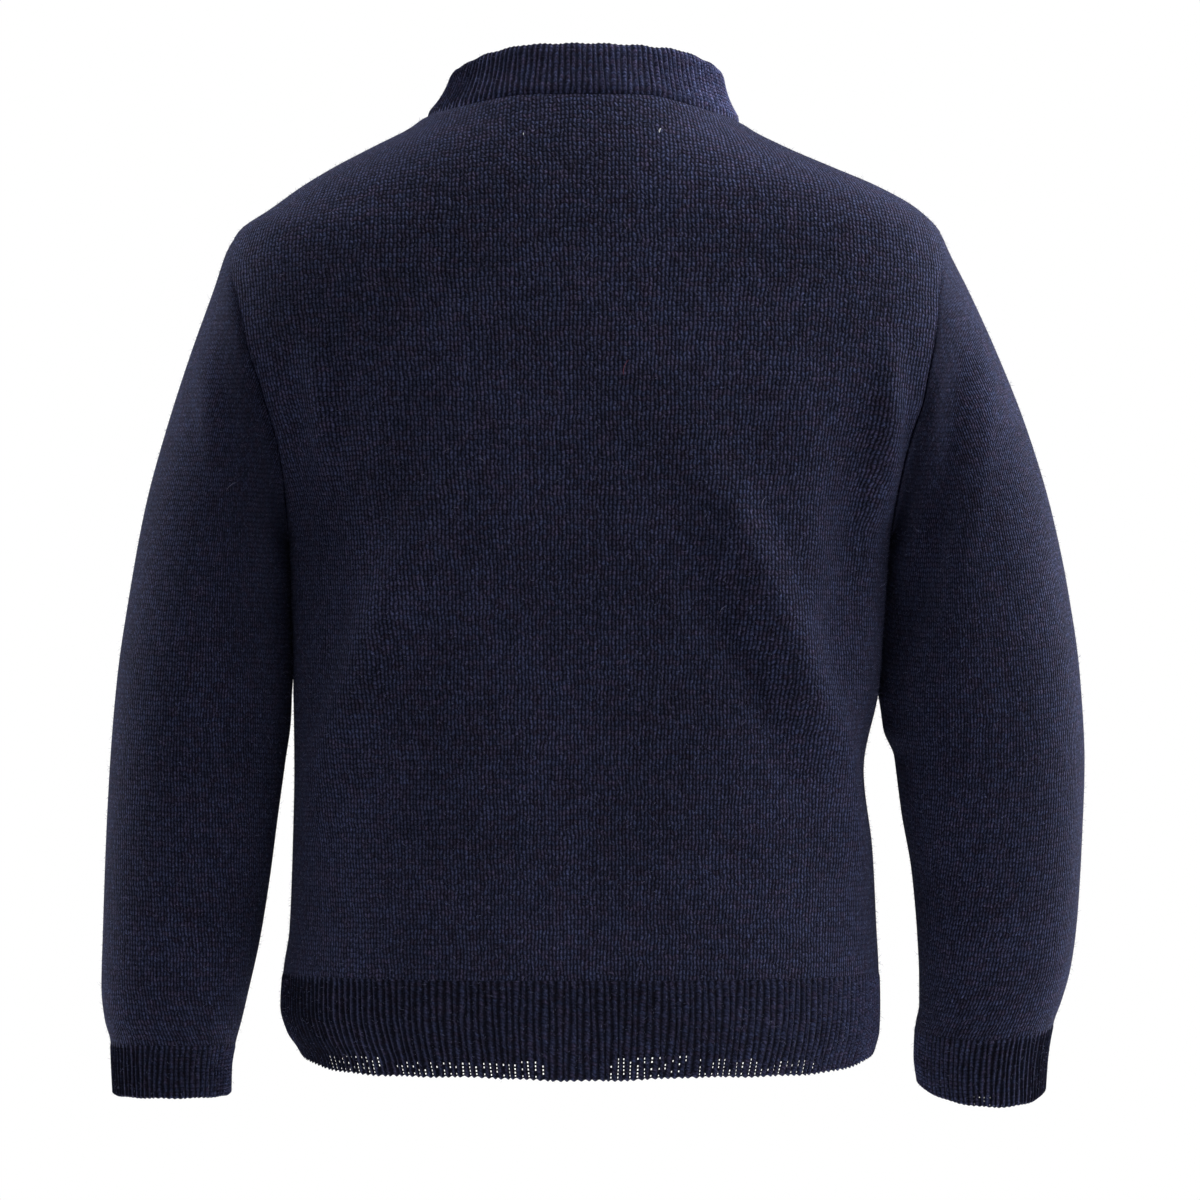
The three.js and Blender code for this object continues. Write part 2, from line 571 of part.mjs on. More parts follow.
function neckbandGeometry() {
  const columns = [
    ...lapAngles.slice(0, -1),
    ...frontColumns.left.slice(1).reverse(),
    ...backColumns.slice(0, -1),
    ...frontColumns.right.slice(0, -1).map((a) => a + fullTurn),
    ...lapAngles.map((a) => a + fullTurn),
  ];
  const shiftAt = (angle) => {
    const point = bodyPoint(angle, neckSeamHeight(angle));
    if (point.y < 0) return 0;
    const side = angle > fullTurn ? 'right' : 'left';
    return frontLapShift(side, side === 'right' ? Math.max(0, point.x) : Math.min(0, point.x));
  };
  const grid = { outer: [], inward: [] };
  for (const t of evenly(0, 1, cells.neckband)) {
    grid.outer.push(columns.map((angle) => neckbandPoint(angle, t, shiftAt(angle))));
    grid.inward.push(columns.map((a) => (t === 0 ? neckSeamNormal(a) : neckbandNormal(a)).negate()));
  }
  drawBack(grid, ['bottom']);
  return wall(grid, false);
}

// ---- body panels

function backPlace(row, neckAngle) {
  if (row.zone === 'hem') return neckAngle;
  const share = (neckAngle - leftSide) / (rightSide - leftSide);
  return lerp(rowEnd(row, 'left', true).angle, rowEnd(row, 'right', true).angle, share);
}

function frontPlace(side) {
  const columns = frontColumns[side];
  return (row, neckAngle, z) => {
    const share = (neckAngle - columns[0]) / (columns[columns.length - 1] - columns[0]);
    const start = row.zone === 'hem' ? columns[0] : rowEnd(row, side, false).angle;
    return lerp(start, angleAtFront(bandEdge[side], z), share);
  };
}

function backPanelGeometry() {
  const grid = bodyGrid(panelRows, backColumns, true, backPlace, () => 0);
  drawBack(grid, ['top', 'bottom', 'first', 'last']);
  finishArmholeEdge(grid, panelRows, 'left', true, 0);
  finishArmholeEdge(grid, panelRows, 'right', true, backColumns.length - 1);
  return wall(grid, false);
}

function frontPanelGeometry(side) {
  const shiftOf = (x) => frontLapShift(side, x);
  const grid = bodyGrid(panelRows, frontColumns[side], false, frontPlace(side), shiftOf);
  drawBack(grid, ['top', 'bottom', 'first', 'last']);
  finishArmholeEdge(grid, panelRows, side, false, 0);
  return wall(grid, false);
}

function backHemGeometry() {
  const grid = bodyGrid(hemRows, backColumns, true, backPlace, () => 0);
  drawBack(grid, ['top', 'first', 'last']);
  return wall(grid, false);
}

function frontHemGeometry(side) {
  const shiftOf = (x) => frontLapShift(side, x);
  const grid = bodyGrid(hemRows, frontColumns[side], false, frontPlace(side), shiftOf);
  drawBack(grid, ['top', 'first', 'last']);
  return wall(grid, false);
}

function buttonBandGeometry(side) {
  const rows = [...hemRows.slice(0, -1), ...panelRows];
  const shift = frontLapShift(side, 0);
  const place = (row, neckAngle, z, c) => angleAtFront(lapAcross[c], z);
  const grid = bodyGrid(rows, lapAngles, false, place, () => shift);
  drawBack(grid, ['top', side === 'left' ? 'last' : 'first']);
  return wall(grid, false);
}

// ---- sleeves

const ringTurns = [
  ...evenly(armhole.seamBehind, Math.PI, cells.armhole).slice(0, -1),
  ...evenly(Math.PI, armhole.seamBehind + fullTurn, cells.armhole).slice(0, -1),
];

const indexedRings = {
  left: sleeveRings.left.map((ring, i) => ({ i, ...ring })),
  right: sleeveRings.right.map((ring, i) => ({ i, ...ring })),
};

function plainRingPoint(side, at, turn) {
  const sign = side === 'left' ? -1 : 1;
  const ring = readTable(indexedRings[side], 'i', at);
  const c = Math.cos(turn);
  const s = Math.sin(turn);
  const x = (ring.outX + ring.inX) / 2 + ((ring.outX - ring.inX) / 2) * c;
  const z = (ring.outZ + ring.inZ) / 2 + ((ring.outZ - ring.inZ) / 2) * c - ring.sag * s;
  return new THREE.Vector3(sign * x, ring.mid - ring.deep * s, z);
}

// The first rings keep the bend of the armhole, less and less.
function bareSleevePoint(side, at, turn) {
  const keep = Math.max(0, 1 - at / sleeveHead.bendRings) ** 2;
  const bend = armholePoint(side, turn).sub(plainRingPoint(side, 0, turn));
  return plainRingPoint(side, at, turn).addScaledVector(bend, keep);
}

function sleeveNormal(side, at, turn) {
  const point = (ringAt, turnAt) => bareSleevePoint(side, Math.max(0, ringAt), turnAt);
  const around = point(at, turn + nudge.turn).sub(point(at, turn - nudge.turn));
  const down = point(at + nudge.ring, turn).sub(point(at - nudge.ring, turn));
  const normal = around.cross(down).normalize();
  return side === 'left' ? normal.negate() : normal;
}

function sleevePoint(side, at, turn) {
  const bare = bareSleevePoint(side, at, turn);
  const withFolds = folded(bare.clone(), sleeveNormal(side, at, turn), folds.sleeveBack, folds.sleeveFront);
  return bare.lerp(withFolds, smoothstep(at, 0, sleeveHead.foldRings));
}

// The rings of a sleeve from one row of its table to another, drawn back at the named edges.
function tubeGeometry(side, from, to, edges) {
  const grid = { outer: [], inward: [] };
  for (let at = from; at <= to; at++) {
    const normalAt = at === 0 ? armholeNormal : (s, turn) => sleeveNormal(s, at, turn);
    grid.outer.push(ringTurns.map((turn) => sleevePoint(side, at, turn)));
    grid.inward.push(ringTurns.map((turn) => normalAt(side, turn).negate()));
  }
  drawBack(grid, edges, true);
  if (from === 0) openArmholeGap(grid.outer[0], side, 1);
  return wall(grid, true);
}

// ---- buttons

function buttonGeometry() {
  const disc = new THREE.Shape().absarc(0, 0, button.radius, 0, fullTurn, false);
  for (const turn of [45, 135, 225, 315].map(degToRad)) {
    const x = button.holeOut * Math.cos(turn);
    const y = button.holeOut * Math.sin(turn);
    disc.holes.push(new THREE.Path().absarc(x, y, button.holeRadius, 0, fullTurn, true));
  }
  return new THREE.ExtrudeGeometry(disc, { depth: button.thick, bevelEnabled: false, curveSegments: 6 });
}

// ---- assembly

const cardigan = new THREE.Group();

function addPiece(name, geometry, material) {
  const mesh = new THREE.Mesh(geometry, material);
  mesh.name = name;
  cardigan.add(mesh);
  return mesh;
}

function addButton(name, seat, normal) {
  const mesh = addPiece(name, buttonGeometry(), finishes.button());
  mesh.position.copy(seat).addScaledVector(normal, button.clear);
  mesh.quaternion.setFromUnitVectors(new THREE.Vector3(0, 0, 1), normal);
}

addPiece('back', backPanelGeometry(), finishes.panel());
addPiece('hem_rib_back', backHemGeometry(), finishes.rib());
for (const side of ['left', 'right']) {
  const lastRow = sleeveRings[side].length - 1;
  addPiece(`front_${side}`, frontPanelGeometry(side), finishes.panel());
  addPiece(`hem_rib_front_${side}`, frontHemGeometry(side), finishes.rib());
  addPiece(`button_band_${side}`, buttonBandGeometry(side), finishes.rib());
  addPiece(`sleeve_${side}`, tubeGeometry(side, 0, cuffRow, ['top']), finishes.panel());
  addPiece(`cuff_${side}`, tubeGeometry(side, cuffRow, lastRow, ['bottom']), finishes.rib());
}
addPiece('neckband', neckbandGeometry(), finishes.rib());

buttonHeights.forEach((z, i) => {
  addButton(`button_${i + 1}`, bodyPoint(front, z, lapShift), bodyNormal(front, z));
});
addButton(`button_${buttonHeights.length + 1}`, neckbandPoint(front, 0.5, lapShift), neckbandNormal(front));

export default cardigan;
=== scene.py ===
# A child's crew-neck cardigan in navy wool, in the rounded shape it has when worn, with nobody in it.
# The forms are worked out in millimetres, in the part's own frame, and every mesh is made in metres.
import math

import bmesh
import bpy
import numpy as np
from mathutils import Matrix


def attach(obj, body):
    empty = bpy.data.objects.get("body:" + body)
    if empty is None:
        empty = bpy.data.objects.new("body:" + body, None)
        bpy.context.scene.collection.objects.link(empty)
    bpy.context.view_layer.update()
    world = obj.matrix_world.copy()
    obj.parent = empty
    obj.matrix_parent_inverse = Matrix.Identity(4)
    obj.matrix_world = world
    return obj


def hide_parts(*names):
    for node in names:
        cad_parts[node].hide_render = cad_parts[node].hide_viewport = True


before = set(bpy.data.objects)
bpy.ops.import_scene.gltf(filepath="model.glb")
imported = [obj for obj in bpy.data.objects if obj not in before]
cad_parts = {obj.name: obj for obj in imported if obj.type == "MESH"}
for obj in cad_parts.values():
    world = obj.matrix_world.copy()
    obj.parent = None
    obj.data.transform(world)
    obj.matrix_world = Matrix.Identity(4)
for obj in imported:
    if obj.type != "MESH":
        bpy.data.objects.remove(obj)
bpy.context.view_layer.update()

toMetres = 0.001
fullTurn = 2 * math.pi
leftSide, rightSide, centreBack, centreFront = math.pi, 2 * math.pi, 1.5 * math.pi, 0.5 * math.pi

cloth = {
    "wall": 2.4,  # thickness of the knit
    "seamGap": 0.06,  # clear space between two pieces where they are sewn
    "courseHigh": 2.04,  # one row of stitches
    "ribCourseHigh": 1.6,
    "spacing": 2.6,  # between the points of a panel
    "sharpFrom": 55,  # an edge that turns by more degrees than this is drawn sharp
}
waleWide = [(-400, 2.93), (-355, 2.93), (-200, 3.10), (-60, 3.46), (14, 3.46)]  # height, one stitch


# ---- numbers, tables and vectors

def mix(a, b, t):
    return a + (b - a) * t


def smooth(x, low, high):
    t = np.clip((x - low) / (high - low), 0, 1)
    return t * t * (3 - 2 * t)


def unit(v):
    return v / np.maximum(np.linalg.norm(v, axis=-1, keepdims=True), 1e-9)


def dot(a, b):
    return (a * b).sum(-1, keepdims=True)


def makeTable(columns, rows):
    data = np.array(rows, float)
    slope = np.diff(data, axis=0) / np.diff(data[:, :1], axis=0)
    before, after = slope[:-1], slope[1:]
    turns = before * after <= 0
    inner = np.where(turns, 0, 2 * before * after / np.where(turns, 1, before + after))
    return {
        "columns": columns.split(),
        "rows": data,
        "tangents": np.vstack([slope[:1], inner, slope[-1:]]),
    }


# A row of a table between its rows, on a curve that never overshoots them.
def readTable(table, at):
    rows, tangents = table["rows"], table["tangents"]
    keys = rows[:, 0]
    value = np.clip(at, keys[0], keys[-1])
    i = np.clip(np.searchsorted(keys, value, side="right") - 1, 0, len(keys) - 2)
    span = (keys[i + 1] - keys[i])[..., None]
    t = (value - keys[i])[..., None] / span
    turn = t * (1 - t) ** 2 * tangents[i] * span - t ** 2 * (1 - t) * tangents[i + 1] * span
    values = mix(rows[i], rows[i + 1], t * t * (3 - 2 * t)) + turn
    return {name: values[..., n] for n, name in enumerate(table["columns"])}


# ---- the garment's measures

hem = {"ribTop": -355, "back": -394.5, "front": -397.4, "dip": 1.5, "dipReach": 0.45,
       "lift": 7.5, "liftPower": 16}
neckline = {"back": 9, "front": -45, "left": 3, "right": 0.5, "level": 0.42,
            "slopePower": 1.1, "scoopPower": 3}
armhole = {"deep": 42, "seamBehind": math.radians(8),
           "left": {"top": -47.5, "bottom": -174}, "right": {"top": -45, "bottom": -172}}
zones = {"side": 11, "armhole": 20, "shoulder": 24}  # the last row of each zone of a body panel
rowBend = {"up": 1.5, "across": 3}
nudge = {"turn": 0.004, "rise": 0.6, "ring": 0.05}

bodySections = makeTable("z left right back front boxiness", [
    (-398, 117.5, 119.3, 83.5, 82.0, 2.40),
    (-389, 119.3, 121.0, 85.2, 84.0, 2.45),
    (-380, 124.7, 123.1, 86.6, 85.6, 2.50),
    (-370, 127.3, 123.4, 87.6, 86.8, 2.55),
    (-355, 126.4, 123.1, 87.6, 87.4, 2.60),
    (-338, 123.9, 122.2, 86.4, 87.8, 2.65),
    (-305, 122.6, 120.5, 83.6, 87.6, 2.70),
    (-271, 121.9, 116.8, 81.6, 86.6, 2.75),
    (-237, 122.3, 123.2, 81.0, 85.4, 2.75),
    (-200, 123.2, 125.9, 81.4, 84.6, 2.75),
    (-173, 124.6, 128.0, 81.8, 84.0, 2.70),
    (-158, 128.4, 132.6, 81.6, 83.6, 2.60),
    (-134, 138.0, 145.0, 80.8, 82.8, 2.45),
    (-115, 148.4, 156.6, 79.6, 81.6, 2.35),
    (-90, 157.0, 162.5, 77.2, 79.4, 2.30),
    (-69, 156.0, 159.0, 74.4, 76.6, 2.30),
    (-46, 145.8, 149.4, 71.0, 72.5, 2.30),
    (-36, 131.8, 139.4, 69.2, 70.0, 2.30),
    (-27, 119.2, 123.6, 67.2, 67.0, 2.30),
    (-19, 106.0, 104.8, 65.0, 64.0, 2.25),
    (-10, 88.8, 83.8, 62.0, 60.0, 2.20),
    (-2, 73.2, 68.6, 59.0, 55.5, 2.15),
    (3, 67.2, 63.6, 56.8, 53.0, 2.10),
    (10, 60.5, 58.5, 54.0, 50.0, 2.10),
])
neckbandSections = makeTable("turn lean tall", [
    (90, 13, 21.3), (135, 12.6, 21.3), (180, 11.5, 21.3), (205, 9, 21.3), (225, 5.9, 21.3),
    (270, 4, 21.3), (300, 4.2, 20.8), (318, 4.8, 22.8), (338, 6.6, 22.9), (360, 8, 21.3),
    (405, 11.7, 21.3), (450, 13, 21.3),
])
neckbandWaist = 1.6
bands = {"width": 24, "ease": 13}
lapShift = (cloth["wall"] + 0.32) / 2  # half of the step between the two lapped bands

sleeveRings = {
    "left": [
        (146.0, -47.9, 124.9, -174.0, 42.0, 0.0, 0.0),
        (149.8, -54.0, 125.0, -178.5, 43.2, 0.0, 0.0),
        (155.6, -70.0, 124.8, -186.0, 43.6, 0.0, 0.0),
        (165.2, -96.0, 123.8, -197.0, 43.2, 0.0, 0.0),
        (175.3, -127.0, 123.4, -211.0, 42.4, 0.0, 0.0),
        (184.3, -160.0, 122.9, -229.0, 41.4, 0.0, 0.0),
        (191.2, -197.0, 123.4, -249.0, 40.2, 0.5, 0.0),
        (196.4, -232.0, 126.0, -269.0, 38.8, 1.0, 0.5),
        (199.5, -268.0, 129.0, -291.0, 37.0, 1.5, 1.0),
        (201.4, -304.0, 132.4, -317.0, 34.6, 2.0, 1.0),
        (202.6, -338.0, 136.6, -343.0, 31.6, 2.5, 0.5),
        (203.3, -362.0, 141.3, -364.0, 29.2, 3.0, 0.0),
        (201.9, -376.5, 144.5, -377.5, 27.4, 3.5, 0.0),
        (199.5, -385.5, 146.8, -386.0, 25.8, 3.5, 0.0),
        (199.0, -396.5, 148.7, -397.0, 25.0, 4.0, 0.0),
        (198.4, -408.2, 149.0, -408.2, 25.2, 4.0, 0.0),
    ],
    "right": [
        (149.4, -45.4, 128.4, -172.0, 42.0, 0.0, 0.0),
        (153.0, -54.0, 128.6, -176.5, 43.2, 0.0, 0.0),
        (161.0, -70.0, 127.8, -184.0, 43.8, 0.0, 0.0),
        (172.8, -96.0, 126.9, -195.0, 43.6, 0.0, 0.0),
        (185.2, -127.5, 126.1, -211.0, 43.0, 0.0, 0.0),
        (195.4, -161.0, 124.9, -229.0, 42.2, 0.0, 0.0),
        (203.0, -197.0, 127.2, -247.0, 41.2, 0.5, 0.0),
        (207.9, -232.0, 130.0, -267.0, 40.0, 1.0, 1.0),
        (209.9, -268.0, 133.0, -290.0, 38.2, 2.0, 2.5),
        (208.9, -301.0, 137.2, -314.0, 35.8, 3.5, 4.0),
        (207.0, -334.0, 139.5, -339.0, 32.6, 5.0, 5.0),
        (204.4, -354.0, 140.5, -358.0, 30.0, 6.5, 5.5),
        (200.6, -368.0, 140.6, -371.0, 28.6, 7.5, 5.5),
        (197.4, -377.0, 139.2, -379.0, 27.8, 8.0, 5.5),
        (194.8, -392.0, 138.6, -392.5, 27.0, 8.5, 6.5),
        (193.8, -406.4, 139.8, -402.8, 26.6, 9.0, 7.5),
    ],
}
sleeveTables = {
    side: makeTable("ring outX outZ inX inZ deep mid sag", [(i, *row) for i, row in enumerate(rows)])
    for side, rows in sleeveRings.items()
}
cuffRing, lastRing = 13, 15
sleeveHead = {"bendRings": 4, "foldRings": 1.5}

# Folds as seen square on: start x and z, end x and z, sideways bow, half width, height (a trough is
# negative). The first ones of each side are the main folds, the later ones the small creases.
foldShape = {"endShare": 0.35, "facing": (0.1, 0.5)}
folds = {
    "back": [
        (-60, -160, -110, -286, -3, 20, 3.6),
        (48, -142, 115, -306, 5, 20, 4.4),
        (38, -180, 84, -268, 2, 15, -2.2),
        (-108, -120, -104, -240, -3, 18, -3.4),
        (114, -130, 106, -226, 4, 16, -3.6),
        (-114, -96, -109, -152, 2, 9, 2.0),
        (124, -100, 122, -165, 2, 9, 2.0),
        (54, -150, 116, -304, 5, 11, 1.9),
        (-62, -158, -112, -286, -3, 12, 2.4),
        (40, -183, 88, -270, 3, 13, -2.0),
        (-99, -104, -90, -146, -2, 24, 1.2),
        (-121, -100, -120, -232, 0, 8, -1.4),
        (-111, -98, -107, -150, 1, 7, 1.7),
        (104, -126, 103, -236, 3, 16, -3.2),
        (76, -96, 98, -138, 2, 22, 1.0),
        (126, -98, 119, -188, 2, 8, 2.4),
    ],
    "front": [
        (58, -150, 106, -280, -4, 20, 3.2),
        (-50, -146, -108, -300, 4, 21, 3.8),
        (-42, -190, -78, -262, 2, 15, -2.0),
        (106, -118, 102, -232, 3, 18, -3.2),
        (-108, -126, -104, -236, -3, 17, -3.4),
    ],
    "sleeveBack": [
        (158, -98, 136, -214, 4, 15, -4.6),
        (-146, -108, -140, -168, -2, 12, -2.4),
        (156, -102, 133, -212, 4, 8, -1.6),
        (166, -96, 152, -190, 3, 9, 1.3),
        (146, -112, 137, -134, 1, 6, 1.5),
        (-158, -92, -150, -150, -2, 8, 1.2),
    ],
    "sleeveFront": [
        (152, -112, 142, -196, 3, 15, -3.6),
        (-150, -104, -138, -190, -3, 14, -3.4),
    ],
}


# How far the folds of some rows lift the cloth at each place.
def foldLift(rows, x, z):
    lift = 0
    for x0, z0, x1, z1, bow, wide, high in rows:
        alongX, alongZ = x1 - x0, z1 - z0
        length = math.hypot(alongX, alongZ)
        t = np.clip(((x - x0) * alongX + (z - z0) * alongZ) / length ** 2, 0, 1)
        side = bow * 4 * t * (1 - t)
        nearX = x0 + alongX * t - alongZ / length * side
        nearZ = z0 + alongZ * t + alongX / length * side
        away = np.minimum(1, np.hypot(x - nearX, z - nearZ) / wide)
        lift = lift + high * (1 - away ** 2) ** 2 * mix(foldShape["endShare"], 1, np.sin(math.pi * t))
    return lift


def folded(points, normals, behind, before):
    x, z = points[..., 0], points[..., 2]
    lift = np.where(normals[..., 1] < 0, foldLift(folds[behind], x, z), foldLift(folds[before], x, z))
    facing = smooth(np.abs(normals[..., 1]), *foldShape["facing"])
    return points + normals * (facing * lift)[..., None]


# Broad hollows on the back of the garment, in the same columns as the folds, but with a depth last. They
# sink straight towards the front, so that the outline stays as it is.
hollows = {
    "body": [
        (-112, -110, -122, -330, 0, 38, 8.0),
        (107, -128, 105, -222, 2, 13, 1.6),
    ],
    "sleeve": [
        (127, -106, 123, -236, -1, 33, 9.0),
        (-128, -120, -128, -170, 0, 14, 2.0),
    ],
}


def hollowed(points, rows):
    depth = foldLift(rows, points[..., 0], points[..., 2]) * smooth(-points[..., 1], 3, 20)
    return points + np.array([0.0, 1.0, 0.0]) * depth[..., None]


# ---- the body's surface, and its seams

def bareBody(angle, z):
    angle, z = np.broadcast_arrays(np.asarray(angle, float), np.asarray(z, float))
    reach = readTable(bodySections, z)
    c, s = np.cos(angle), np.sin(angle)
    across = np.abs(c) / np.where(c < 0, reach["left"], reach["right"])
    along = np.abs(s) / np.where(s < 0, reach["back"], reach["front"])
    radius = (across ** reach["boxiness"] + along ** reach["boxiness"]) ** (-1 / reach["boxiness"])
    return np.stack([radius * c, radius * s, z], -1)


def bodyNormal(angle, z):
    around = bareBody(angle + nudge["turn"], z) - bareBody(angle - nudge["turn"], z)
    up = bareBody(angle, z + nudge["rise"]) - bareBody(angle, z - nudge["rise"])
    return unit(np.cross(around, up))


def bodyPoint(angle, z, shift=0):
    normal, shift = bodyNormal(angle, z), np.asarray(shift, float)[..., None]
    full = folded(bareBody(angle, z), normal, "back", "front")
    return hollowed(full, hollows["body"]) + normal * shift


def angleAtDepth(side, y, z):
    reach = readTable(bodySections, np.asarray(z, float))
    share = np.abs(y) / np.where(y < 0, reach["back"], reach["front"])
    x = reach[side] * (1 - share ** reach["boxiness"]) ** (1 / reach["boxiness"])
    angle = np.arctan2(y, -x if side == "left" else x)
    late = (angle < 0) | ((side == "right") & (y <= 0))
    return np.where(late, angle + fullTurn, angle)


def angleAtFront(x, z):
    return np.arctan2(readTable(bodySections, np.asarray(z, float))["front"], x)


def armholeSeam(side, turn):
    top, bottom = armhole[side]["top"], armhole[side]["bottom"]
    z = (top + bottom) / 2 + (top - bottom) / 2 * np.cos(turn)
    return angleAtDepth(side, -armhole["deep"] * np.sin(turn), z), z


def armholeNormal(side, turn):
    tall = (armhole[side]["top"] - armhole[side]["bottom"]) / 2
    turn = np.asarray(turn, float)
    return unit(np.stack([0 * turn, -np.sin(turn) / armhole["deep"], np.cos(turn) / tall], -1))


def neckSeamHeight(angle):
    angle = np.asarray(angle, float)
    isLeft, isFront = np.cos(angle) < 0, np.sin(angle) > 0
    point = np.where(isLeft, neckline["left"], neckline["right"])
    reaches = readTable(bodySections, point)
    reach = np.where(isLeft, reaches["left"], reaches["right"])
    low = np.full(angle.shape, neckline["front"] - 2.0)
    high = np.full(angle.shape, neckline["back"] + 2.0)
    for halving in range(24):
        z = (low + high) / 2
        across = np.minimum(1, np.abs(bareBody(angle, z)[..., 0]) / reach)
        slope = np.maximum(0, (across - neckline["level"]) / (1 - neckline["level"]))
        behind = mix(neckline["back"], point, slope ** neckline["slopePower"])
        before = mix(neckline["front"], point, across ** neckline["scoopPower"])
        isBelow = z < np.where(isFront, before, behind)
        low, high = np.where(isBelow, z, low), np.where(isBelow, high, z)
    return (low + high) / 2


def hemHeight(angle):
    across = np.abs(np.cos(angle))
    level = mix(hem["back"], hem["front"], (1 + np.sin(angle)) / 2)
    dip = hem["dip"] * np.maximum(0, 1 - (across / hem["dipReach"]) ** 2) * (np.sin(angle) < 0)
    return level - dip + hem["lift"] * across ** hem["liftPower"]


# Where row s of a panel meets the seam at one side: its angle, its height and its turn of the armhole.
def rowEnd(s, side, isBack):
    sideAngle = leftSide if side == "left" else rightSide if isBack else 0.0
    topTurn = armhole["seamBehind"] + (0 if isBack else fullTurn)
    if s <= zones["side"]:
        return sideAngle, mix(hem["ribTop"], armhole[side]["bottom"], s / zones["side"]), math.pi
    if s <= zones["armhole"]:
        turn = mix(math.pi, topTurn, (s - zones["side"]) / (zones["armhole"] - zones["side"]))
        angle, z = armholeSeam(side, turn)
        if not isBack and side == "right" and angle > math.pi:
            angle -= fullTurn
        return float(angle), float(z), turn
    tip, z = armholeSeam(side, topTurn)
    if not isBack and side == "right":
        tip -= fullTurn
    t = (s - zones["armhole"]) / (zones["shoulder"] - zones["armhole"])
    return float(mix(tip, sideAngle, t)), float(mix(z, neckline[side], t)), topTurn


def rowEnds(s, side, isBack):
    return [np.array(v)[:, None] for v in zip(*(rowEnd(value, side, isBack) for value in s))]


def rowHeights(s, neckAngles, isBack):
    share = (1 + np.cos(neckAngles)) / 2
    z = mix(rowEnds(s, "left", isBack)[1], rowEnds(s, "right", isBack)[1], share)
    underarm = mix(armhole["left"]["bottom"], armhole["right"]["bottom"], share)
    neckPoint = mix(neckline["left"], neckline["right"], share)
    bend = np.clip((z - underarm) / (neckPoint - underarm), 0, 1) ** rowBend["up"]
    neckSeam = neckSeamHeight(neckAngles)
    atSide = z + bend * (neckSeam - neckPoint)
    inMiddle = mix(hem["ribTop"], neckSeam, s[:, None] / zones["shoulder"])
    return mix(inMiddle, atSide, np.abs(np.cos(neckAngles)) ** rowBend["across"])


def frontLapShift(side, x):
    edge = bands["width"] / 2
    return (1 if side == "right" else -1) * lapShift * (1 - smooth(np.abs(x), edge, edge + bands["ease"]))


# ---- the neckband and the sleeves

def bareNeckband(angle, t):
    turn = np.degrees(np.mod(angle - centreFront, fullTurn) + centreFront)
    section = readTable(neckbandSections, turn)
    lean, rise = section["lean"], np.sqrt(section["tall"] ** 2 - section["lean"] ** 2)
    up = np.stack([-lean * np.cos(angle), -lean * np.sin(angle), rise], -1)
    return bareBody(angle, neckSeamHeight(angle)) + up * np.asarray(t, float)[..., None]


def neckbandNormal(angle):
    around = bareNeckband(angle + nudge["turn"], 0) - bareNeckband(angle - nudge["turn"], 0)
    return unit(np.cross(around, bareNeckband(angle, 1) - bareNeckband(angle, 0)))


def neckSeamNormal(angle):
    return unit(bodyNormal(angle, neckSeamHeight(angle)) + neckbandNormal(angle))


def neckbandPoint(angle, t, shift):
    own = neckbandNormal(angle)
    out = unit(mix(bodyNormal(angle, neckSeamHeight(angle)), own, np.asarray(t, float)[..., None]))
    waist = neckbandWaist * np.abs(np.cos(angle)) * 4 * t * (1 - t)
    shift = np.asarray(shift, float)[..., None]
    return bareNeckband(angle, t) - own * waist[..., None] + out * shift


def plainRing(side, ring, turn):
    row = readTable(sleeveTables[side], np.broadcast_to(np.asarray(ring, float), np.shape(ring * turn)))
    c, s = np.cos(turn), np.sin(turn)
    x = (row["outX"] + row["inX"]) / 2 + (row["outX"] - row["inX"]) / 2 * c
    z = (row["outZ"] + row["inZ"]) / 2 + (row["outZ"] - row["inZ"]) / 2 * c - row["sag"] * s
    return np.stack([-x if side == "left" else x, row["mid"] - row["deep"] * s, z], -1)


def bareSleeve(side, ring, turn):
    ring, turn = np.broadcast_arrays(np.asarray(ring, float), np.asarray(turn, float))
    keep = np.maximum(0, 1 - ring / sleeveHead["bendRings"]) ** 2
    bend = bodyPoint(*armholeSeam(side, turn)) - plainRing(side, 0 * ring, turn)
    return plainRing(side, ring, turn) + bend * keep[..., None]


def sleeveNormal(side, ring, turn):
    around = bareSleeve(side, ring, turn + nudge["turn"]) - bareSleeve(side, ring, turn - nudge["turn"])
    above = np.maximum(0, ring - nudge["ring"])
    down = bareSleeve(side, ring + nudge["ring"], turn) - bareSleeve(side, above, turn)
    normal = unit(np.cross(around, down))
    return -normal if side == "left" else normal


def sleevePoint(side, ring, turn):
    bare = bareSleeve(side, ring, turn)
    full = folded(bare, sleeveNormal(side, ring, turn), "sleeveBack", "sleeveFront")
    full = hollowed(full, hollows["sleeve"])
    fade = smooth(ring, 0, sleeveHead["foldRings"])
    return mix(bare, full, np.broadcast_to(fade, bare.shape[:-1])[..., None])


# ---- stitches laid on the body: widths counted from the centre line, heights from the rib

stitchAngles = np.linspace(-0.6, fullTurn + 0.6, 1801)
stitchLevels = np.arange(-402.0, 14.0, 2.0)
stitchGrid = bareBody(stitchAngles[None, :], stitchLevels[:, None])


def runLengths(points, axis):
    steps = np.linalg.norm(np.diff(points, axis=axis), axis=-1)
    total = np.cumsum(steps, axis=axis)
    return np.concatenate([np.zeros_like(np.take(total, [0], axis=axis)), total], axis=axis)


aroundLengths = runLengths(stitchGrid, 1)
upLengths = runLengths(stitchGrid, 0)


def lookUp(grid, angle, z):
    a = (angle - stitchAngles[0]) / (stitchAngles[1] - stitchAngles[0])
    r = np.clip((z - stitchLevels[0]) / (stitchLevels[1] - stitchLevels[0]), 0, len(stitchLevels) - 1.001)
    c, row = np.floor(a).astype(int), np.floor(r).astype(int)
    c = np.clip(c, 0, len(stitchAngles) - 2)
    a, r = a - c, r - row
    below = mix(grid[row, c], grid[row, c + 1], a)
    return mix(below, mix(grid[row + 1, c], grid[row + 1, c + 1], a), r)


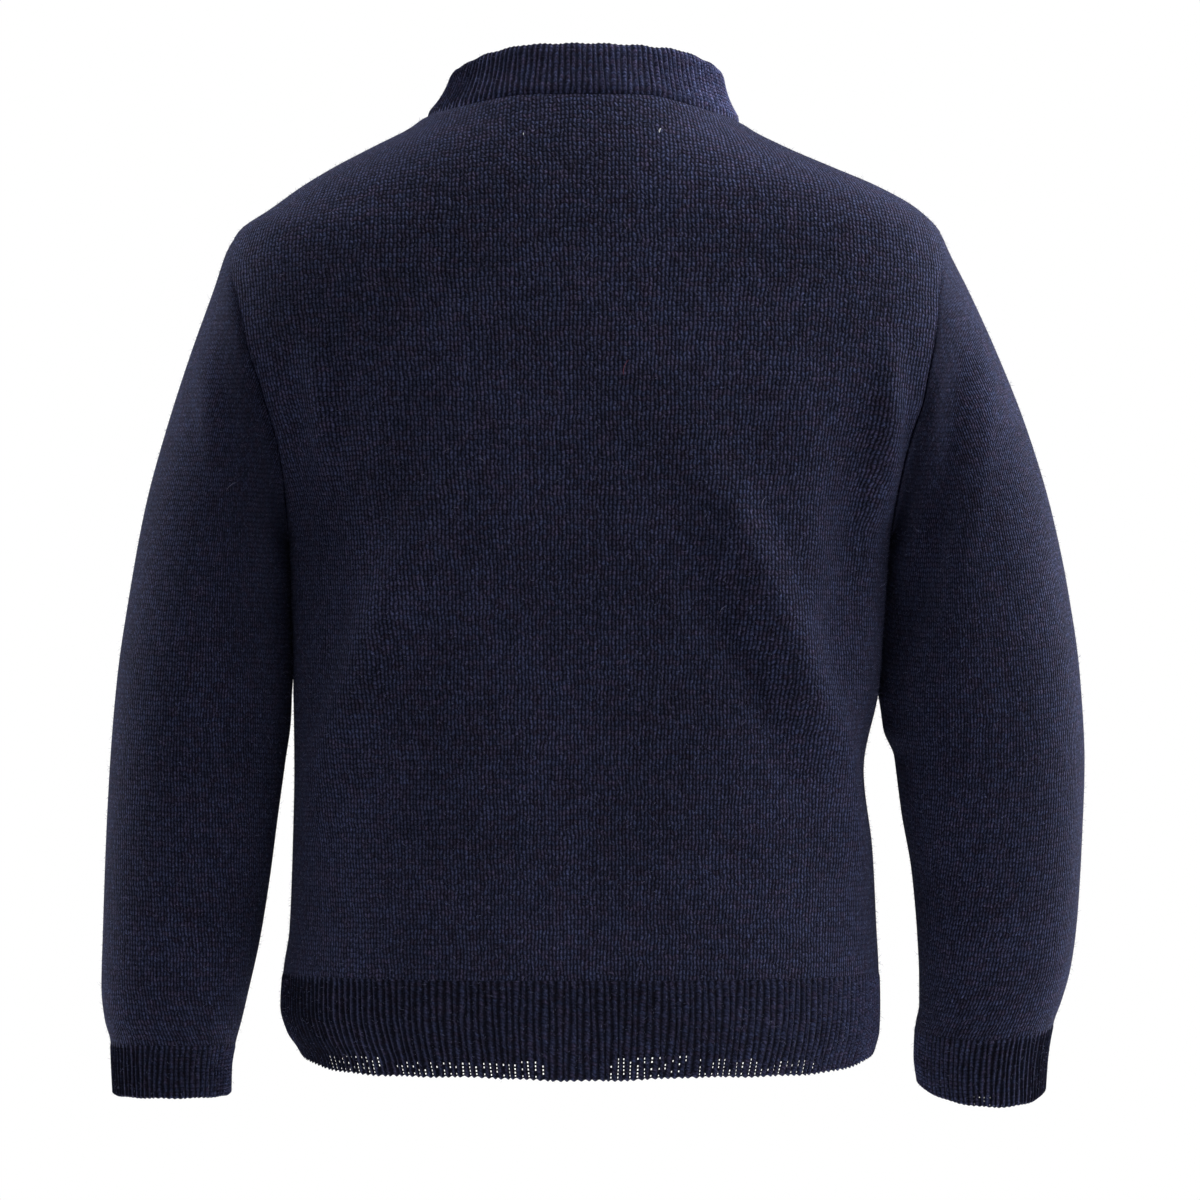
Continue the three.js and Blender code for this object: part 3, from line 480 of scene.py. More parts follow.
def stitchCounts(angle, z, centre):
    across = lookUp(aroundLengths, angle, z) - lookUp(aroundLengths, centre + 0 * angle, z)
    up = lookUp(upLengths, angle, z) - lookUp(upLengths, angle, hem["ribTop"] + 0 * z)
    heights, widths = zip(*waleWide)
    return np.stack([across / np.interp(z, heights, widths), up / cloth["courseHigh"]], -1)


# ---- shells of knit

edgeSteps = [0, 0.5, 1.2, 2.1, 3.3]  # from a sewn edge, where the cloth rolls into the seam


# Shares of a length, with small steps at the ends named fine.
def spaced(length, spacing, fineStart=False, fineEnd=False):
    start = edgeSteps if fineStart else [0]
    end = [length - step for step in reversed(edgeSteps)] if fineEnd else [length]
    count = max(2, round((end[0] - start[-1]) / spacing))
    middle = np.linspace(start[-1], end[0], count + 1)
    return np.concatenate([start[:-1], middle, end[1:]]) / length


def rolled(distance, depth, reach):
    return depth * (1 - np.clip(distance / reach, 0, 1)) ** 2


# Moves one edge line of a grid towards its neighbour, to leave half of the seam gap.
def drawBack(points, *lines):
    for line in lines:
        own, beside = {
            "bottom": (np.s_[0], np.s_[1]), "top": (np.s_[-1], np.s_[-2]),
            "first": (np.s_[:, 0], np.s_[:, 1]), "last": (np.s_[:, -1], np.s_[:, -2]),
        }[line]
        points[own] = points[own] + unit(points[beside] - points[own]) * cloth["seamGap"] / 2


# The area of each cell of a grid of cloth.
def cellAreas(points):
    a = points[1:, 1:] - points[:-1, :-1]
    b = points[:-1, 1:] - points[1:, :-1]
    return np.linalg.norm(np.cross(a, b), axis=-1) / 2


# A closed shell between an outer and an inner grid. A looped grid repeats its first column at its end.
# Holes are cells left out of both layers, with walls between the two.
def makeShell(name, outer, inner, stitches, materials, looped=False, holes=None):
    rows, columns = outer.shape[:2]
    own = columns - 1 if looped else columns
    index = np.arange(rows * own).reshape(rows, own)
    if looped:
        index = np.concatenate([index, index[:, :1]], 1)
    layer = rows * own
    holes = np.zeros((rows - 1, columns - 1), bool) if holes is None else holes

    def corners(grid):
        return np.stack([grid[:-1, :-1], grid[:-1, 1:], grid[1:, 1:], grid[1:, :-1]], axis=2)

    cells, cellStitches = corners(index), corners(stitches)
    quads, quadStitches, faceMaterials = [], [], []

    def addQuads(corner, shift, uv, material):
        quads.append(np.stack(corner, -1).reshape(-1, 4) + np.array(shift) * layer)
        quadStitches.append(np.stack(uv, -2).reshape(-1, 4, 2))
        faceMaterials.append(np.full(len(quads[-1]), material))

    def addWall(pair, uvPair, isReversed):
        a, b = pair
        p, q = uvPair
        if isReversed:
            addQuads([a, b, b, a], [0, 0, 1, 1], [p, q, q, p], 0)
        else:
            addQuads([a, a, b, b], [0, 1, 1, 0], [p, p, q, q], 0)

    kept, keptStitches = cells[~holes], cellStitches[~holes]
    addQuads([kept[:, i] for i in range(4)], [0] * 4, [keptStitches[:, i] for i in range(4)], 0)
    back = [3, 2, 1, 0]
    inside = len(materials) - 1
    addQuads([kept[:, i] for i in back], [1] * 4, [keptStitches[:, i] for i in back], inside)
    addWall((index[0, :-1], index[0, 1:]), (stitches[0, :-1], stitches[0, 1:]), False)
    addWall((index[-1, :-1], index[-1, 1:]), (stitches[-1, :-1], stitches[-1, 1:]), True)
    if not looped:
        addWall((index[:-1, 0], index[1:, 0]), (stitches[:-1, 0], stitches[1:, 0]), True)
        addWall((index[:-1, -1], index[1:, -1]), (stitches[:-1, -1], stitches[1:, -1]), False)
    if holes.any():
        hole, holeStitches = cells[holes], cellStitches[holes]
        for i, j, isReversed in ((0, 1, True), (3, 2, False), (0, 3, False), (1, 2, True)):
            addWall((hole[:, i], hole[:, j]), (holeStitches[:, i], holeStitches[:, j]), isReversed)

    points = np.concatenate([outer[:, :own].reshape(-1, 3), inner[:, :own].reshape(-1, 3)])
    quads, quadStitches = np.concatenate(quads), np.concatenate(quadStitches)
    a, b, c, d = (points[quads[:, i]] for i in range(4))
    if (dot(a, np.cross(b, c)) + dot(a, np.cross(c, d))).sum() < 0:
        quads, quadStitches = quads[:, ::-1], quadStitches[:, ::-1]
    return makeMesh(name, points, quads, materials, quadStitches, np.concatenate(faceMaterials))


def makeMesh(name, points, faces, materials, stitches=None, faceMaterials=None):
    mesh = bpy.data.meshes.new(name)
    count, sides = faces.shape
    mesh.vertices.add(len(points))
    mesh.vertices.foreach_set("co", (points * toMetres).astype(np.float32).ravel())
    mesh.loops.add(count * sides)
    mesh.loops.foreach_set("vertex_index", faces.astype(np.int32).ravel())
    mesh.polygons.add(count)
    mesh.polygons.foreach_set("loop_start", np.arange(0, count * sides, sides, dtype=np.int32))
    if faceMaterials is not None:
        mesh.polygons.foreach_set("material_index", faceMaterials.astype(np.int32))
    if stitches is not None:
        layer = mesh.uv_layers.new(name="knit")
        layer.data.foreach_set("uv", stitches.astype(np.float32).ravel())
    mesh.update(calc_edges=True)
    mesh.validate()
    mesh.set_sharp_from_angle(angle=math.radians(cloth["sharpFrom"]))
    for material in materials:
        mesh.materials.append(material)
    piece = bpy.data.objects.new(name, mesh)
    bpy.context.scene.collection.objects.link(piece)
    return piece


# The faces of a tube of rings, numbered from its first point.
def tubeFaces(rings, sides, start=0):
    here = start + np.arange(rings - 1)[:, None] * sides + np.arange(sides)
    beside = start + np.arange(rings - 1)[:, None] * sides + (np.arange(sides) + 1) % sides
    return np.stack([here, beside, beside + sides, here + sides], -1).reshape(-1, 4)


# Hangs a piece of cloth on the root, and hides the CAD part it stands in for.
def declareCloth(piece, node):
    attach(piece, "root")
    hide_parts(node)


smoothGrids = []


def finishCloth(node, slotName, restsOn, points, outer, inner, normals, stitches, materials, **shell):
    piece = makeShell(f"{node}_knit", outer, inner, stitches, materials, **shell)
    declareCloth(piece, node)
    smoothGrids.append((outer, normals))


# ---- ribs

ribSteps = 6  # columns to a rib
ribProfile = (0.5 - 0.5 * np.cos(fullTurn * np.arange(ribSteps) / ribSteps)) ** 1.2


# Where the columns of a ribbed piece lie, counted in ribs and strayed a little sideways. Ribs stand in
# loose pairs. t runs from one edge of the band to the other.
def ribCounts(first, last, t, amount):
    start, end = math.ceil(first * ribSteps + 0.3), math.floor(last * ribSteps - 0.3)
    counts = np.concatenate([[first], np.arange(start, end + 1) / ribSteps, [last]])
    free = np.minimum(1, np.minimum(counts - first, last - counts) / 3)
    slow = 0.6 * np.sin(0.41 * counts + 2.1 * t + 1) + 0.4 * np.sin(0.79 * counts - 3.2 * t)
    stray = amount * (slow + 0.35 * np.sin(2.2 * counts + 7 * t + 2))
    pairs = 0.06 * np.sin(math.pi * counts)
    return counts, counts + (stray + pairs) * free, free


# The outer and inner grids of a ribbed piece from its smooth grid.
def ribbed(points, normals, inward, counts, high, fade, wall):
    profile = ribProfile[np.round(counts * ribSteps).astype(int) % ribSteps][None, :, None]
    out = (profile - 0.5) * high * fade[..., None]
    return points + normals * out, points + inward * (np.asarray(wall)[..., None] - out)


# Where each point of a ribbed piece lies, counted in ribs across and in rows along.
def ribStitches(counts, along):
    return np.stack([np.broadcast_to(counts, along.shape), along / cloth["ribCourseHigh"]], -1)


# How far each point is from the nearer end of its row.
def toNearerEnd(across):
    return np.minimum(across, across[:, -1:] - across)


# Rounds an open edge: the last lines of both layers close in on the middle of the cloth.
def roundEdge(outer, inner, lines, shares=(0.34, 0.1)):
    for line, share in zip(lines, shares):
        a, b = outer[line].copy(), inner[line].copy()
        outer[line], inner[line] = mix(a, b, share), mix(b, a, share)


# ---- materials

def toLinear(hexColour):
    channels = [int(hexColour[i:i + 2], 16) / 255 for i in (1, 3, 5)]
    return [c / 12.92 if c <= 0.04045 else ((c + 0.055) / 1.055) ** 2.4 for c in channels] + [1.0]


# Adds a node with its settings. Feeds go to its sockets by place or by name, as values or as links.
def addNode(tree, kind, feeds=(), out=0, **settings):
    node = tree.nodes.new("ShaderNode" + kind)
    for name, value in settings.items():
        setattr(node, name, value)
    for socket, value in feeds.items() if isinstance(feeds, dict) else enumerate(feeds):
        if isinstance(value, bpy.types.NodeSocket):
            tree.links.new(value, node.inputs[socket])
        else:
            node.inputs[socket].default_value = value
    return node.outputs[out] if node.outputs else node


def newMaterial(name):
    material = bpy.data.materials.new(name)
    material.use_nodes = True
    material.node_tree.nodes.clear()
    return material, material.node_tree


# Navy lambswool, 5 gauge: soft two-ply yarn with a woolly bloom, in a melange of blue and a little
# maroon. Shade is painted into the colour in the hollows between the legs of the stitches, and the sheen
# gives a pale blue haze at the rims.
wool = {
    "yarn": "#454868",
    "maroon": "#58455c",
    "blue": "#44527a",
    "tint": 0.3,  # how far the yarn's colour goes towards maroon or blue
    "hollow": 0.16,  # painted shade: brightness left in the colour between the legs
    "legSpread": 0.7,  # how unlike in brightness two legs are
    "mottle": 0.25,  # how unlike in brightness two patches are
    "fibre": 1.3,  # and two fibres
    "lean": 0.38,  # how far down a leg goes, in courses
    "stray": {  # how far stitches lie out of line, slowly and from one to the next
        "face": ((0.5, 0.5, 0.0), (0.34, 0.5, 0.0)),
        "rib": ((0.12, 0.5, 0.0), (0.22, 0.5, 0.0)),
    },
    "ribPaintedLight": {"painted_darker": 0.8, "painted_lighter": 1.75},  # painted light and shade: the neckband's rib lighter, the other ribs darker
    "rowStray": 0.4,  # how far up or down a column sits, in courses
    "bumpHigh": 0.0006,  # in metres
    "fibreHigh": 0.2,  # a fibre's share of it
    "roughness": 0.9,
    "ior": 1.55,
    "sheen": 0.14,
    "sheenRoughness": 0.35,
    "sheenTint": "#9fa6d8",
}


# Stocking stitch shows columns of legs in the shape of a V, and its reverse rows of small arcs. A rib
# shows one such column on each ridge, with shade painted into the hollows between.
stitchForms = {
    "face": [
        ("pair", "MULTIPLY", "u", 2),
        ("legTurn", "MULTIPLY", "pair", math.pi),
        ("legSine", "SINE", "legTurn"),
        ("legAcross", "ABSOLUTE", "legSine"),
        ("legRound", "POWER", "legAcross", 1.9),
        ("fold", "PINGPONG", "u", 0.5),
        ("slant", "MULTIPLY_ADD", "fold", 2 * wool["lean"], "v"),
        ("row", "FRACT", "slant"),
        ("rowTurn", "MULTIPLY", "row", math.pi),
        ("rowSine", "SINE", "rowTurn"),
        ("alongLeg", "MULTIPLY_ADD", "rowSine", 0.72, 0.28),
        ("height", "MULTIPLY", "legRound", "alongLeg"),
    ],
    "reverse": [
        ("pair", "MULTIPLY", "u", 1),
        ("arcTurn", "MULTIPLY", "u", fullTurn),
        ("arcSine", "COSINE", "arcTurn"),
        ("slant", "MULTIPLY_ADD", "arcSine", 0.3, "v"),
        ("rowTurn", "MULTIPLY", "slant", math.pi),
        ("rowSine", "SINE", "rowTurn"),
        ("rowAcross", "ABSOLUTE", "rowSine"),
        ("height", "POWER", "rowAcross", 0.8),
    ],
    "rib": [
        ("across", "PINGPONG", "u", 0.5),
        ("ridgeTurn", "MULTIPLY", "across", math.pi),
        ("ridgeSine", "SINE", "ridgeTurn"),
        ("ridge", "POWER", "ridgeSine", 2.6),
        ("slant", "MULTIPLY_ADD", "across", -1.2, "v"),
        ("row", "FRACT", "slant"),
        ("rowTurn", "MULTIPLY", "row", math.pi),
        ("rowSine", "SINE", "rowTurn"),
        ("alongLeg", "MULTIPLY_ADD", "rowSine", 0.55, 0.45),
        ("height", "MULTIPLY", "ridge", "alongLeg"),
        ("pair", "MULTIPLY", "u", 2),
    ],
}


def makeKnit(name, form, bright=1.0):
    material, tree = newMaterial(name)
    stitch = addNode(tree, "UVMap", uv_map="knit")
    slow = addNode(tree, "TexNoise", {"Vector": stitch, "Scale": 0.13, "Detail": 1.0}, 1,
                   noise_dimensions="2D")
    small = addNode(tree, "TexNoise", {"Vector": stitch, "Scale": 0.85, "Detail": 2.0}, 1,
                    noise_dimensions="2D")
    strays = wool["stray"]["rib" if form == "rib" else "face"]
    moved = addNode(tree, "VectorMath", [slow, strays[0], stitch], operation="MULTIPLY_ADD")
    moved = addNode(tree, "VectorMath", [small, strays[1], moved], operation="MULTIPLY_ADD")
    u = addNode(tree, "SeparateXYZ", [moved])
    made = {"u": u, "v": u.node.outputs[1]}
    if form == "face":
        halves = addNode(tree, "Math", [u, 2.0], operation="MULTIPLY")
        column = addNode(tree, "Math", [halves], operation="FLOOR")
        columnChance = addNode(tree, "TexWhiteNoise", {"W": column}, noise_dimensions="1D")
        made["v"] = addNode(tree, "Math", [columnChance, wool["rowStray"], made["v"]],
                            operation="MULTIPLY_ADD")
    for result, operation, *values in stitchForms[form]:
        feeds = [made[value] if isinstance(value, str) else value for value in values]
        made[result] = addNode(tree, "Math", feeds, operation=operation)
    leg = addNode(tree, "Math", [made["pair"]], operation="FLOOR")
    row = addNode(tree, "Math", [made["slant"]], operation="FLOOR")
    legCell = addNode(tree, "CombineXYZ", [leg, row])
    legChance = addNode(tree, "TexWhiteNoise", {"Vector": legCell}, noise_dimensions="2D")
    runStart = addNode(tree, "Math", [row, 7.31], operation="MULTIPLY")
    runAlong = addNode(tree, "Math", [made["u"], 0.45], operation="MULTIPLY")
    runCell = addNode(tree, "CombineXYZ", [runAlong, runStart])
    run = addNode(tree, "TexNoise", {"Vector": runCell, "Scale": 1.0, "Detail": 1.0},
                  noise_dimensions="2D")
    fibres = addNode(tree, "TexNoise", {"Vector": moved, "Scale": 3.2, "Detail": 4.0, "Roughness": 0.7},
                     noise_dimensions="2D")
    cloud = addNode(tree, "TexNoise", {"Vector": stitch, "Scale": 0.045, "Detail": 2.0},
                    noise_dimensions="2D")
    # The first shade is painted shade, darker in the hollows between the legs; the others are the yarn's
    # own random tone.
    shades = [
        addNode(tree, "MapRange", [made["height"], 0.05, 0.85, wool["hollow"], 1.0]),
        addNode(tree, "MapRange", [legChance, 0.0, 1.0, 1 - wool["legSpread"] / 2,
                                   1 + wool["legSpread"] / 2]),
        addNode(tree, "MapRange", [fibres, 0.32, 0.68, 1 - wool["fibre"] / 2, 1 + wool["fibre"] / 2]),
        addNode(tree, "MapRange", [cloud, 0.3, 0.7, 1 - wool["mottle"] / 2, 1 + wool["mottle"] / 2]),
    ]
    # bright scales the whole colour, as painted light and shade for the ribs.
    shade = addNode(tree, "Math", [shades[0], bright], operation="MULTIPLY")
    for other in shades[1:]:
        shade = addNode(tree, "Math", [shade, other], operation="MULTIPLY")
    toMaroon = addNode(tree, "MapRange", [run, 0.5, 0.3, 0.0, wool["tint"]])
    toBlue = addNode(tree, "MapRange", [run, 0.5, 0.7, 0.0, wool["tint"]])
    dyed = addNode(tree, "Mix", {0: toMaroon, 6: toLinear(wool["yarn"]), 7: toLinear(wool["maroon"])}, 2,
                   data_type="RGBA")
    dyed = addNode(tree, "Mix", {0: toBlue, 6: dyed, 7: toLinear(wool["blue"])}, 2, data_type="RGBA")
    colour = addNode(tree, "VectorMath", {"Vector": dyed, "Scale": shade}, operation="SCALE")
    relief = addNode(tree, "Math", [fibres, wool["fibreHigh"], made["height"]], operation="MULTIPLY_ADD")
    bump = addNode(tree, "Bump", {"Height": relief, "Distance": wool["bumpHigh"], "Strength": 1.0})
    surface = addNode(tree, "BsdfPrincipled", {
        "Base Color": colour, "Roughness": wool["roughness"], "IOR": wool["ior"],
        "Specular IOR Level": 0.08, "Sheen Weight": wool["sheen"],
        "Sheen Roughness": wool["sheenRoughness"], "Sheen Tint": toLinear(wool["sheenTint"]),
        "Normal": bump,
    })
    addNode(tree, "OutputMaterial", {"Surface": surface})
    return material


stockingStitch = makeKnit("lambswool_stocking_stitch", "face")
reverseStitch = makeKnit("lambswool_stocking_stitch_reverse", "reverse")
# Two copies of the rib: painted darker for the hem, cuffs and button bands, and painted lighter for the
# neckband.
ribStitch = makeKnit("lambswool_one_by_one_rib", "rib", wool["ribPaintedLight"]["painted_darker"])
paintedLighterRibStitch = makeKnit("lambswool_one_by_one_rib_painted_lighter", "rib", wool["ribPaintedLight"]["painted_lighter"])


# One even finish, for small things: what it is made of says how it shines.
def makePlain(name, colour, roughness, ior):
    material, tree = newMaterial(name)
    surface = addNode(tree, "BsdfPrincipled", {
        "Base Color": toLinear(colour), "Roughness": roughness, "IOR": ior})
    addNode(tree, "OutputMaterial", {"Surface": surface})
    return material


# Loose wool fibres on the surface: keratin, matt, paler than the yarn, as one fibre lets light through.
looseFibre = makePlain("lambswool_loose_fibre", "#8488ae", 0.9, 1.55)


# ---- body panels

# A panel of the body as a smooth grid. s are row numbers, shares run across the panel, neckAngles are
# the columns' angles at the neck.
def panelGrid(s, shares, side):
    isBack = side == "back"
    if isBack:
        neckAngles = mix(leftSide, rightSide, shares)
        start, end = rowEnds(s, "left", True), rowEnds(s, "right", True)
        z = rowHeights(s, neckAngles, True)
        angle = mix(start[0], end[0], shares)
    else:
        sideAngle = leftSide if side == "left" else 0.0
        edge = bands["width"] / 2 * (-1 if side == "left" else 1)
        neckAngles = mix(sideAngle, float(angleAtFront(edge, neckline["front"])), shares)
        start = rowEnds(s, side, False)
        z = rowHeights(s, neckAngles, False)
        angle = mix(start[0], angleAtFront(edge, z), shares)
    shift = 0 if isBack else frontLapShift(side, bareBody(angle, z)[..., 0])
    points = bodyPoint(angle, z, shift)
    return {"angle": angle, "z": z, "points": points, "normals": bodyNormal(angle, z),
            "neckAngles": neckAngles, "start": start, "end": end if isBack else None, "s": s}


# Rolls a panel's sewn edges into their seams, and gives its outer and inner grid.
def sewnPanel(grid, side, look):
    points, normals, s = grid["points"], grid["normals"], grid["s"]
    fromStart = runLengths(points, 1)
    fromEnd = fromStart[:, -1:] - fromStart
    up = runLengths(points, 0)
    fromTop = up[-1:] - up
    isArmhole = (s >= zones["side"] - 1e-6) & (s <= zones["armhole"] + 1e-6)
    depth = np.where(isArmhole, look["armholeRoll"], look["seamRoll"])[:, None]
    roll = rolled(fromStart, depth, look["rollReach"])
    ends = [(0, "left" if side == "back" else side, grid["start"], fromStart)]
    if side == "back":
        roll = np.maximum(roll, rolled(fromEnd, depth, look["rollReach"]))
        ends.append((-1, "right", grid["end"], fromEnd))
    else:
        roll = np.maximum(roll, rolled(fromEnd, look["bandRoll"], look["rollReach"]))
    roll = np.maximum(roll, rolled(fromTop, look["neckRoll"], look["rollReach"]))
    inward = -normals
    for column, ownSide, end, distance in ends:
        turned = -armholeNormal(ownSide, end[2][:, 0])[:, None, :]
        weight = (1 - smooth(distance, 0, look["turnReach"])) * isArmhole[:, None]
        inward = unit(mix(inward, turned, weight[..., None]))
    weight = 1 - smooth(fromTop, 0, look["turnReach"])
    inward = unit(mix(inward, -neckSeamNormal(grid["neckAngles"]), weight[..., None]))
    outer = points - normals * roll[..., None]
    drawBack(outer, "top", "bottom", "first", "last")
    return outer, outer + inward * cloth["wall"]


panelLook = {
    "armholeRoll": 0.4, "seamRoll": 0.9, "neckRoll": 1.1, "bandRoll": 0.5,  # how deep an edge sinks
    "rollReach": 4.2,  # how far from the edge it starts to sink
    "turnReach": 7,  # and how far from it the wall turns to match its neighbour's
    "wide": {"back": 330, "front": 165},  # about, to space the columns by
    "tall": {"side": 182, "armhole": 132, "shoulder": 60},  # the same for the rows of each zone
}


def panelRows():
    tall, spacing = panelLook["tall"], cloth["spacing"]
    low = mix(0, zones["side"], spaced(tall["side"], spacing))
    middle = mix(zones["side"], zones["armhole"], spaced(tall["armhole"], spacing))[1:]
    high = mix(zones["armhole"], zones["shoulder"], spaced(tall["shoulder"], spacing, False, True))[1:]
    return np.concatenate([low, middle, high])


neighbours = {
    "back": ["neckband", "front_left", "front_right"],
    "left": ["neckband", "back"],
    "right": ["neckband", "back"],
}
for side in ("back", "left", "right"):
    name = side if side == "back" else f"front_{side}"
    wide = panelLook["wide"]["back" if side == "back" else "front"]
    grid = panelGrid(panelRows(), spaced(wide, cloth["spacing"], True, True), side)
    outer, inner = sewnPanel(grid, side, panelLook)
    centre = centreBack if side == "back" else centreFront
    stitches = stitchCounts(grid["angle"], grid["z"], centre)
    finishCloth(name, "stocking_stitch", neighbours[side], grid["points"], outer, inner,
                grid["normals"], stitches, [stockingStitch, reverseStitch])
print("body panels made")


# ---- hem ribs

hemLook = {
    "ribWide": 2.87,
    "high": 0.85,  # from hollow to ridge
    "rows": {"back": 54, "front": 18},
    "stray": 0.2,  # how far a rib wanders, in ribs
    "scallop": 0.3,  # how far the lower edge waves
    "fadeIn": 3.0,  # below the panel, where the ribs start
    "sideRoll": 0.9,  # how deep the side edges sink
    "thinWall": 1.3,  # down where light comes through between the stitches
    "thinFrom": (10, 17),  # and how far up the wall thins
    "openFrom": -107,  # the stitches are open from this x
    "openTo": 94,  # to this one
    "closed": ((-84, -79), (-17, 10)),  # but not between these
    "sparse": (25, 46),  # and fewer are open here
    "shut": {"usual": 0.26, "sparse": 0.66},  # share of the cells that stay shut
}


# Cells left open low down on the back, where the knit is loosest: one between two ribs, every other row.
def looseStitches(points, counts):
    chance = np.random.default_rng(11).random((points.shape[0] - 1, points.shape[1] - 1))
    x = points[:-1, :-1, 0]
    row = np.arange(len(x))[:, None]
    step = np.round(counts[:-1] * ribSteps).astype(int) % ribSteps
    level = 4.4 + 1.2 * np.sin(x / 23 + 1) + chance
    isOpen = (row % 2 == 1) & (row < 2 * level) & (step == ribSteps - 1)[None, :]
    isOpen &= (x > hemLook["openFrom"]) & (x < hemLook["openTo"])
    for start, end in hemLook["closed"]:
        isOpen &= ~((x > start) & (x < end))
    isSparse = (x > hemLook["sparse"][0]) & (x < hemLook["sparse"][1])
    return isOpen & (chance > np.where(isSparse, hemLook["shut"]["sparse"], hemLook["shut"]["usual"]))


for side in ("back", "left", "right"):
    isBack = side == "back"
    name = "hem_rib_back" if isBack else f"hem_rib_front_{side}"
    fromAngle, toAngle, centre = leftSide, rightSide, centreBack
    if not isBack:
        edge = bands["width"] / 2 * (-1 if side == "left" else 1)
        fromAngle = leftSide if side == "left" else 0.0
        toAngle, centre = float(angleAtFront(edge, neckline["front"])), centreFront
    t = np.linspace(0, 1, hemLook["rows"]["back" if isBack else "front"] + 1)[:, None]
    fine = np.linspace(fromAngle, toAngle, 1200)
    level = 0 * fine + hem["ribTop"]
    u = lookUp(aroundLengths, fine, level) - lookUp(aroundLengths, centre + 0 * fine, level)
    u = u / hemLook["ribWide"]
    if u[0] > u[-1]:
        u, fine = u[::-1], fine[::-1]
    counts, strayed, free = ribCounts(u[0], u[-1], t, hemLook["stray"])
    column = np.interp(strayed, u, fine)
    wave = np.cos(fullTurn * counts) + 0.6 * np.sin(0.65 * counts + 1)
    z = mix(hemHeight(column), hem["ribTop"], t) + hemLook["scallop"] * wave * (1 - smooth(t, 0, 0.06))
    angle = column
    if not isBack:
        share = (column - fromAngle) / (toAngle - fromAngle)
        angle = mix(fromAngle, angleAtFront(edge, z), share)
    shift = 0 if isBack else frontLapShift(side, bareBody(angle, z)[..., 0])
    points, normals = bodyPoint(angle, z, shift), bodyNormal(angle, z)
    across, up = runLengths(points, 1), runLengths(points, 0)
    toSide = toNearerEnd(across)
    fade = smooth(up[-1:] - up, 0.2, hemLook["fadeIn"]) * smooth(toSide, 0.3, 2.5)
    toSeam = toSide if isBack else across if side == "left" else across[:, -1:] - across
    points = points - normals * rolled(toSeam, hemLook["sideRoll"], 4)[..., None]
    inward, wall = -normals, cloth["wall"] + 0 * up
    if isBack:
        low = 1 - smooth(up, *hemLook["thinFrom"])
        inward = unit(mix(inward, np.array([0.0, 1.0, 0.0]) * (normals[..., 1:2] < -0.2), low[..., None]))
        wall = mix(cloth["wall"], hemLook["thinWall"], low)
    outer, inner = ribbed(points, normals, inward, counts, hemLook["high"], fade, wall)
    roundEdge(outer, inner, (0, 1))
    drawBack(outer, "top")
    drawBack(inner, "top")
    finishCloth(name, "rib", ["back" if isBack else f"front_{side}"], points, outer, inner, normals,
                ribStitches(counts, up), [ribStitch],
                holes=looseStitches(points, counts) if isBack else None)
print("hem ribs made")


# ---- button bands

bandLook = {"ribWide": 2.4, "high": 0.6, "spacing": 2.4, "stray": 0.12,
            "tall": {"hem": 41, "front": 310}}  # about, to space the rows by
for side in ("left", "right"):
    half = bands["width"] / 2
    ribs = half / bandLook["ribWide"]
    low = spaced(bandLook["tall"]["hem"], bandLook["spacing"])[:-1]
    shares = spaced(bandLook["tall"]["front"], bandLook["spacing"], False, True)
    rows = mix(0, zones["shoulder"], shares)
    t = np.linspace(0, 18, len(low) + len(rows))[:, None]
    counts, strayed, free = ribCounts(-ribs, ribs, t, bandLook["stray"])
    neckAngles = angleAtFront(counts * bandLook["ribWide"], neckline["front"])
    z = np.concatenate([
        mix(hemHeight(neckAngles), hem["ribTop"], low[:, None]),
        rowHeights(rows, neckAngles, False),
    ])
    x = strayed * bandLook["ribWide"]
    angle = angleAtFront(x, z)
    points, normals = bodyPoint(angle, z, 0 * z + frontLapShift(side, 0)), bodyNormal(angle, z)
    up = runLengths(points, 0)
    toTop = up[-1:] - up
    fade = smooth(toTop, 0, 2.5) * smooth(half - np.abs(x), 0.2, 1.6)
    sewn = half + x if side == "left" else half - x
    roll = np.maximum(rolled(toTop, panelLook["neckRoll"], panelLook["rollReach"]),
                      rolled(sewn, panelLook["bandRoll"], panelLook["rollReach"]))
    points = points - normals * roll[..., None]
    weight = (1 - smooth(toTop, 0, panelLook["turnReach"]))[..., None]
    inward = unit(mix(-normals, -neckSeamNormal(neckAngles), weight))
    outer, inner = ribbed(points, normals, inward, counts, bandLook["high"], fade, cloth["wall"])
    roundEdge(outer, inner, (0,))
    openLines = (-1, -2) if side == "left" else (0, 1)
    roundEdge(outer, inner, [np.s_[:, line] for line in openLines])
    drawBack(outer, "top", "first" if side == "left" else "last")
    finishCloth(f"button_band_{side}", "rib", [f"front_{side}"], points, outer, inner, normals,
                ribStitches(counts, up), [ribStitch])
print("button bands made")


# ---- neckband

neckbandLook = {"ribWide": 2.4, "high": 0.75, "rows": 16, "stray": 0.16, "scallop": 0.3, "roll": 1.3}


def neckbandLapShift(angle):
    seam = bodyPoint(angle, neckSeamHeight(angle))
    isRight = angle > fullTurn
    x = np.where(isRight, np.maximum(0, seam[..., 0]), np.minimum(0, seam[..., 0]))
    shift = np.where(isRight, frontLapShift("right", x), frontLapShift("left", x))
    return np.where(seam[..., 1] < 0, 0, shift)


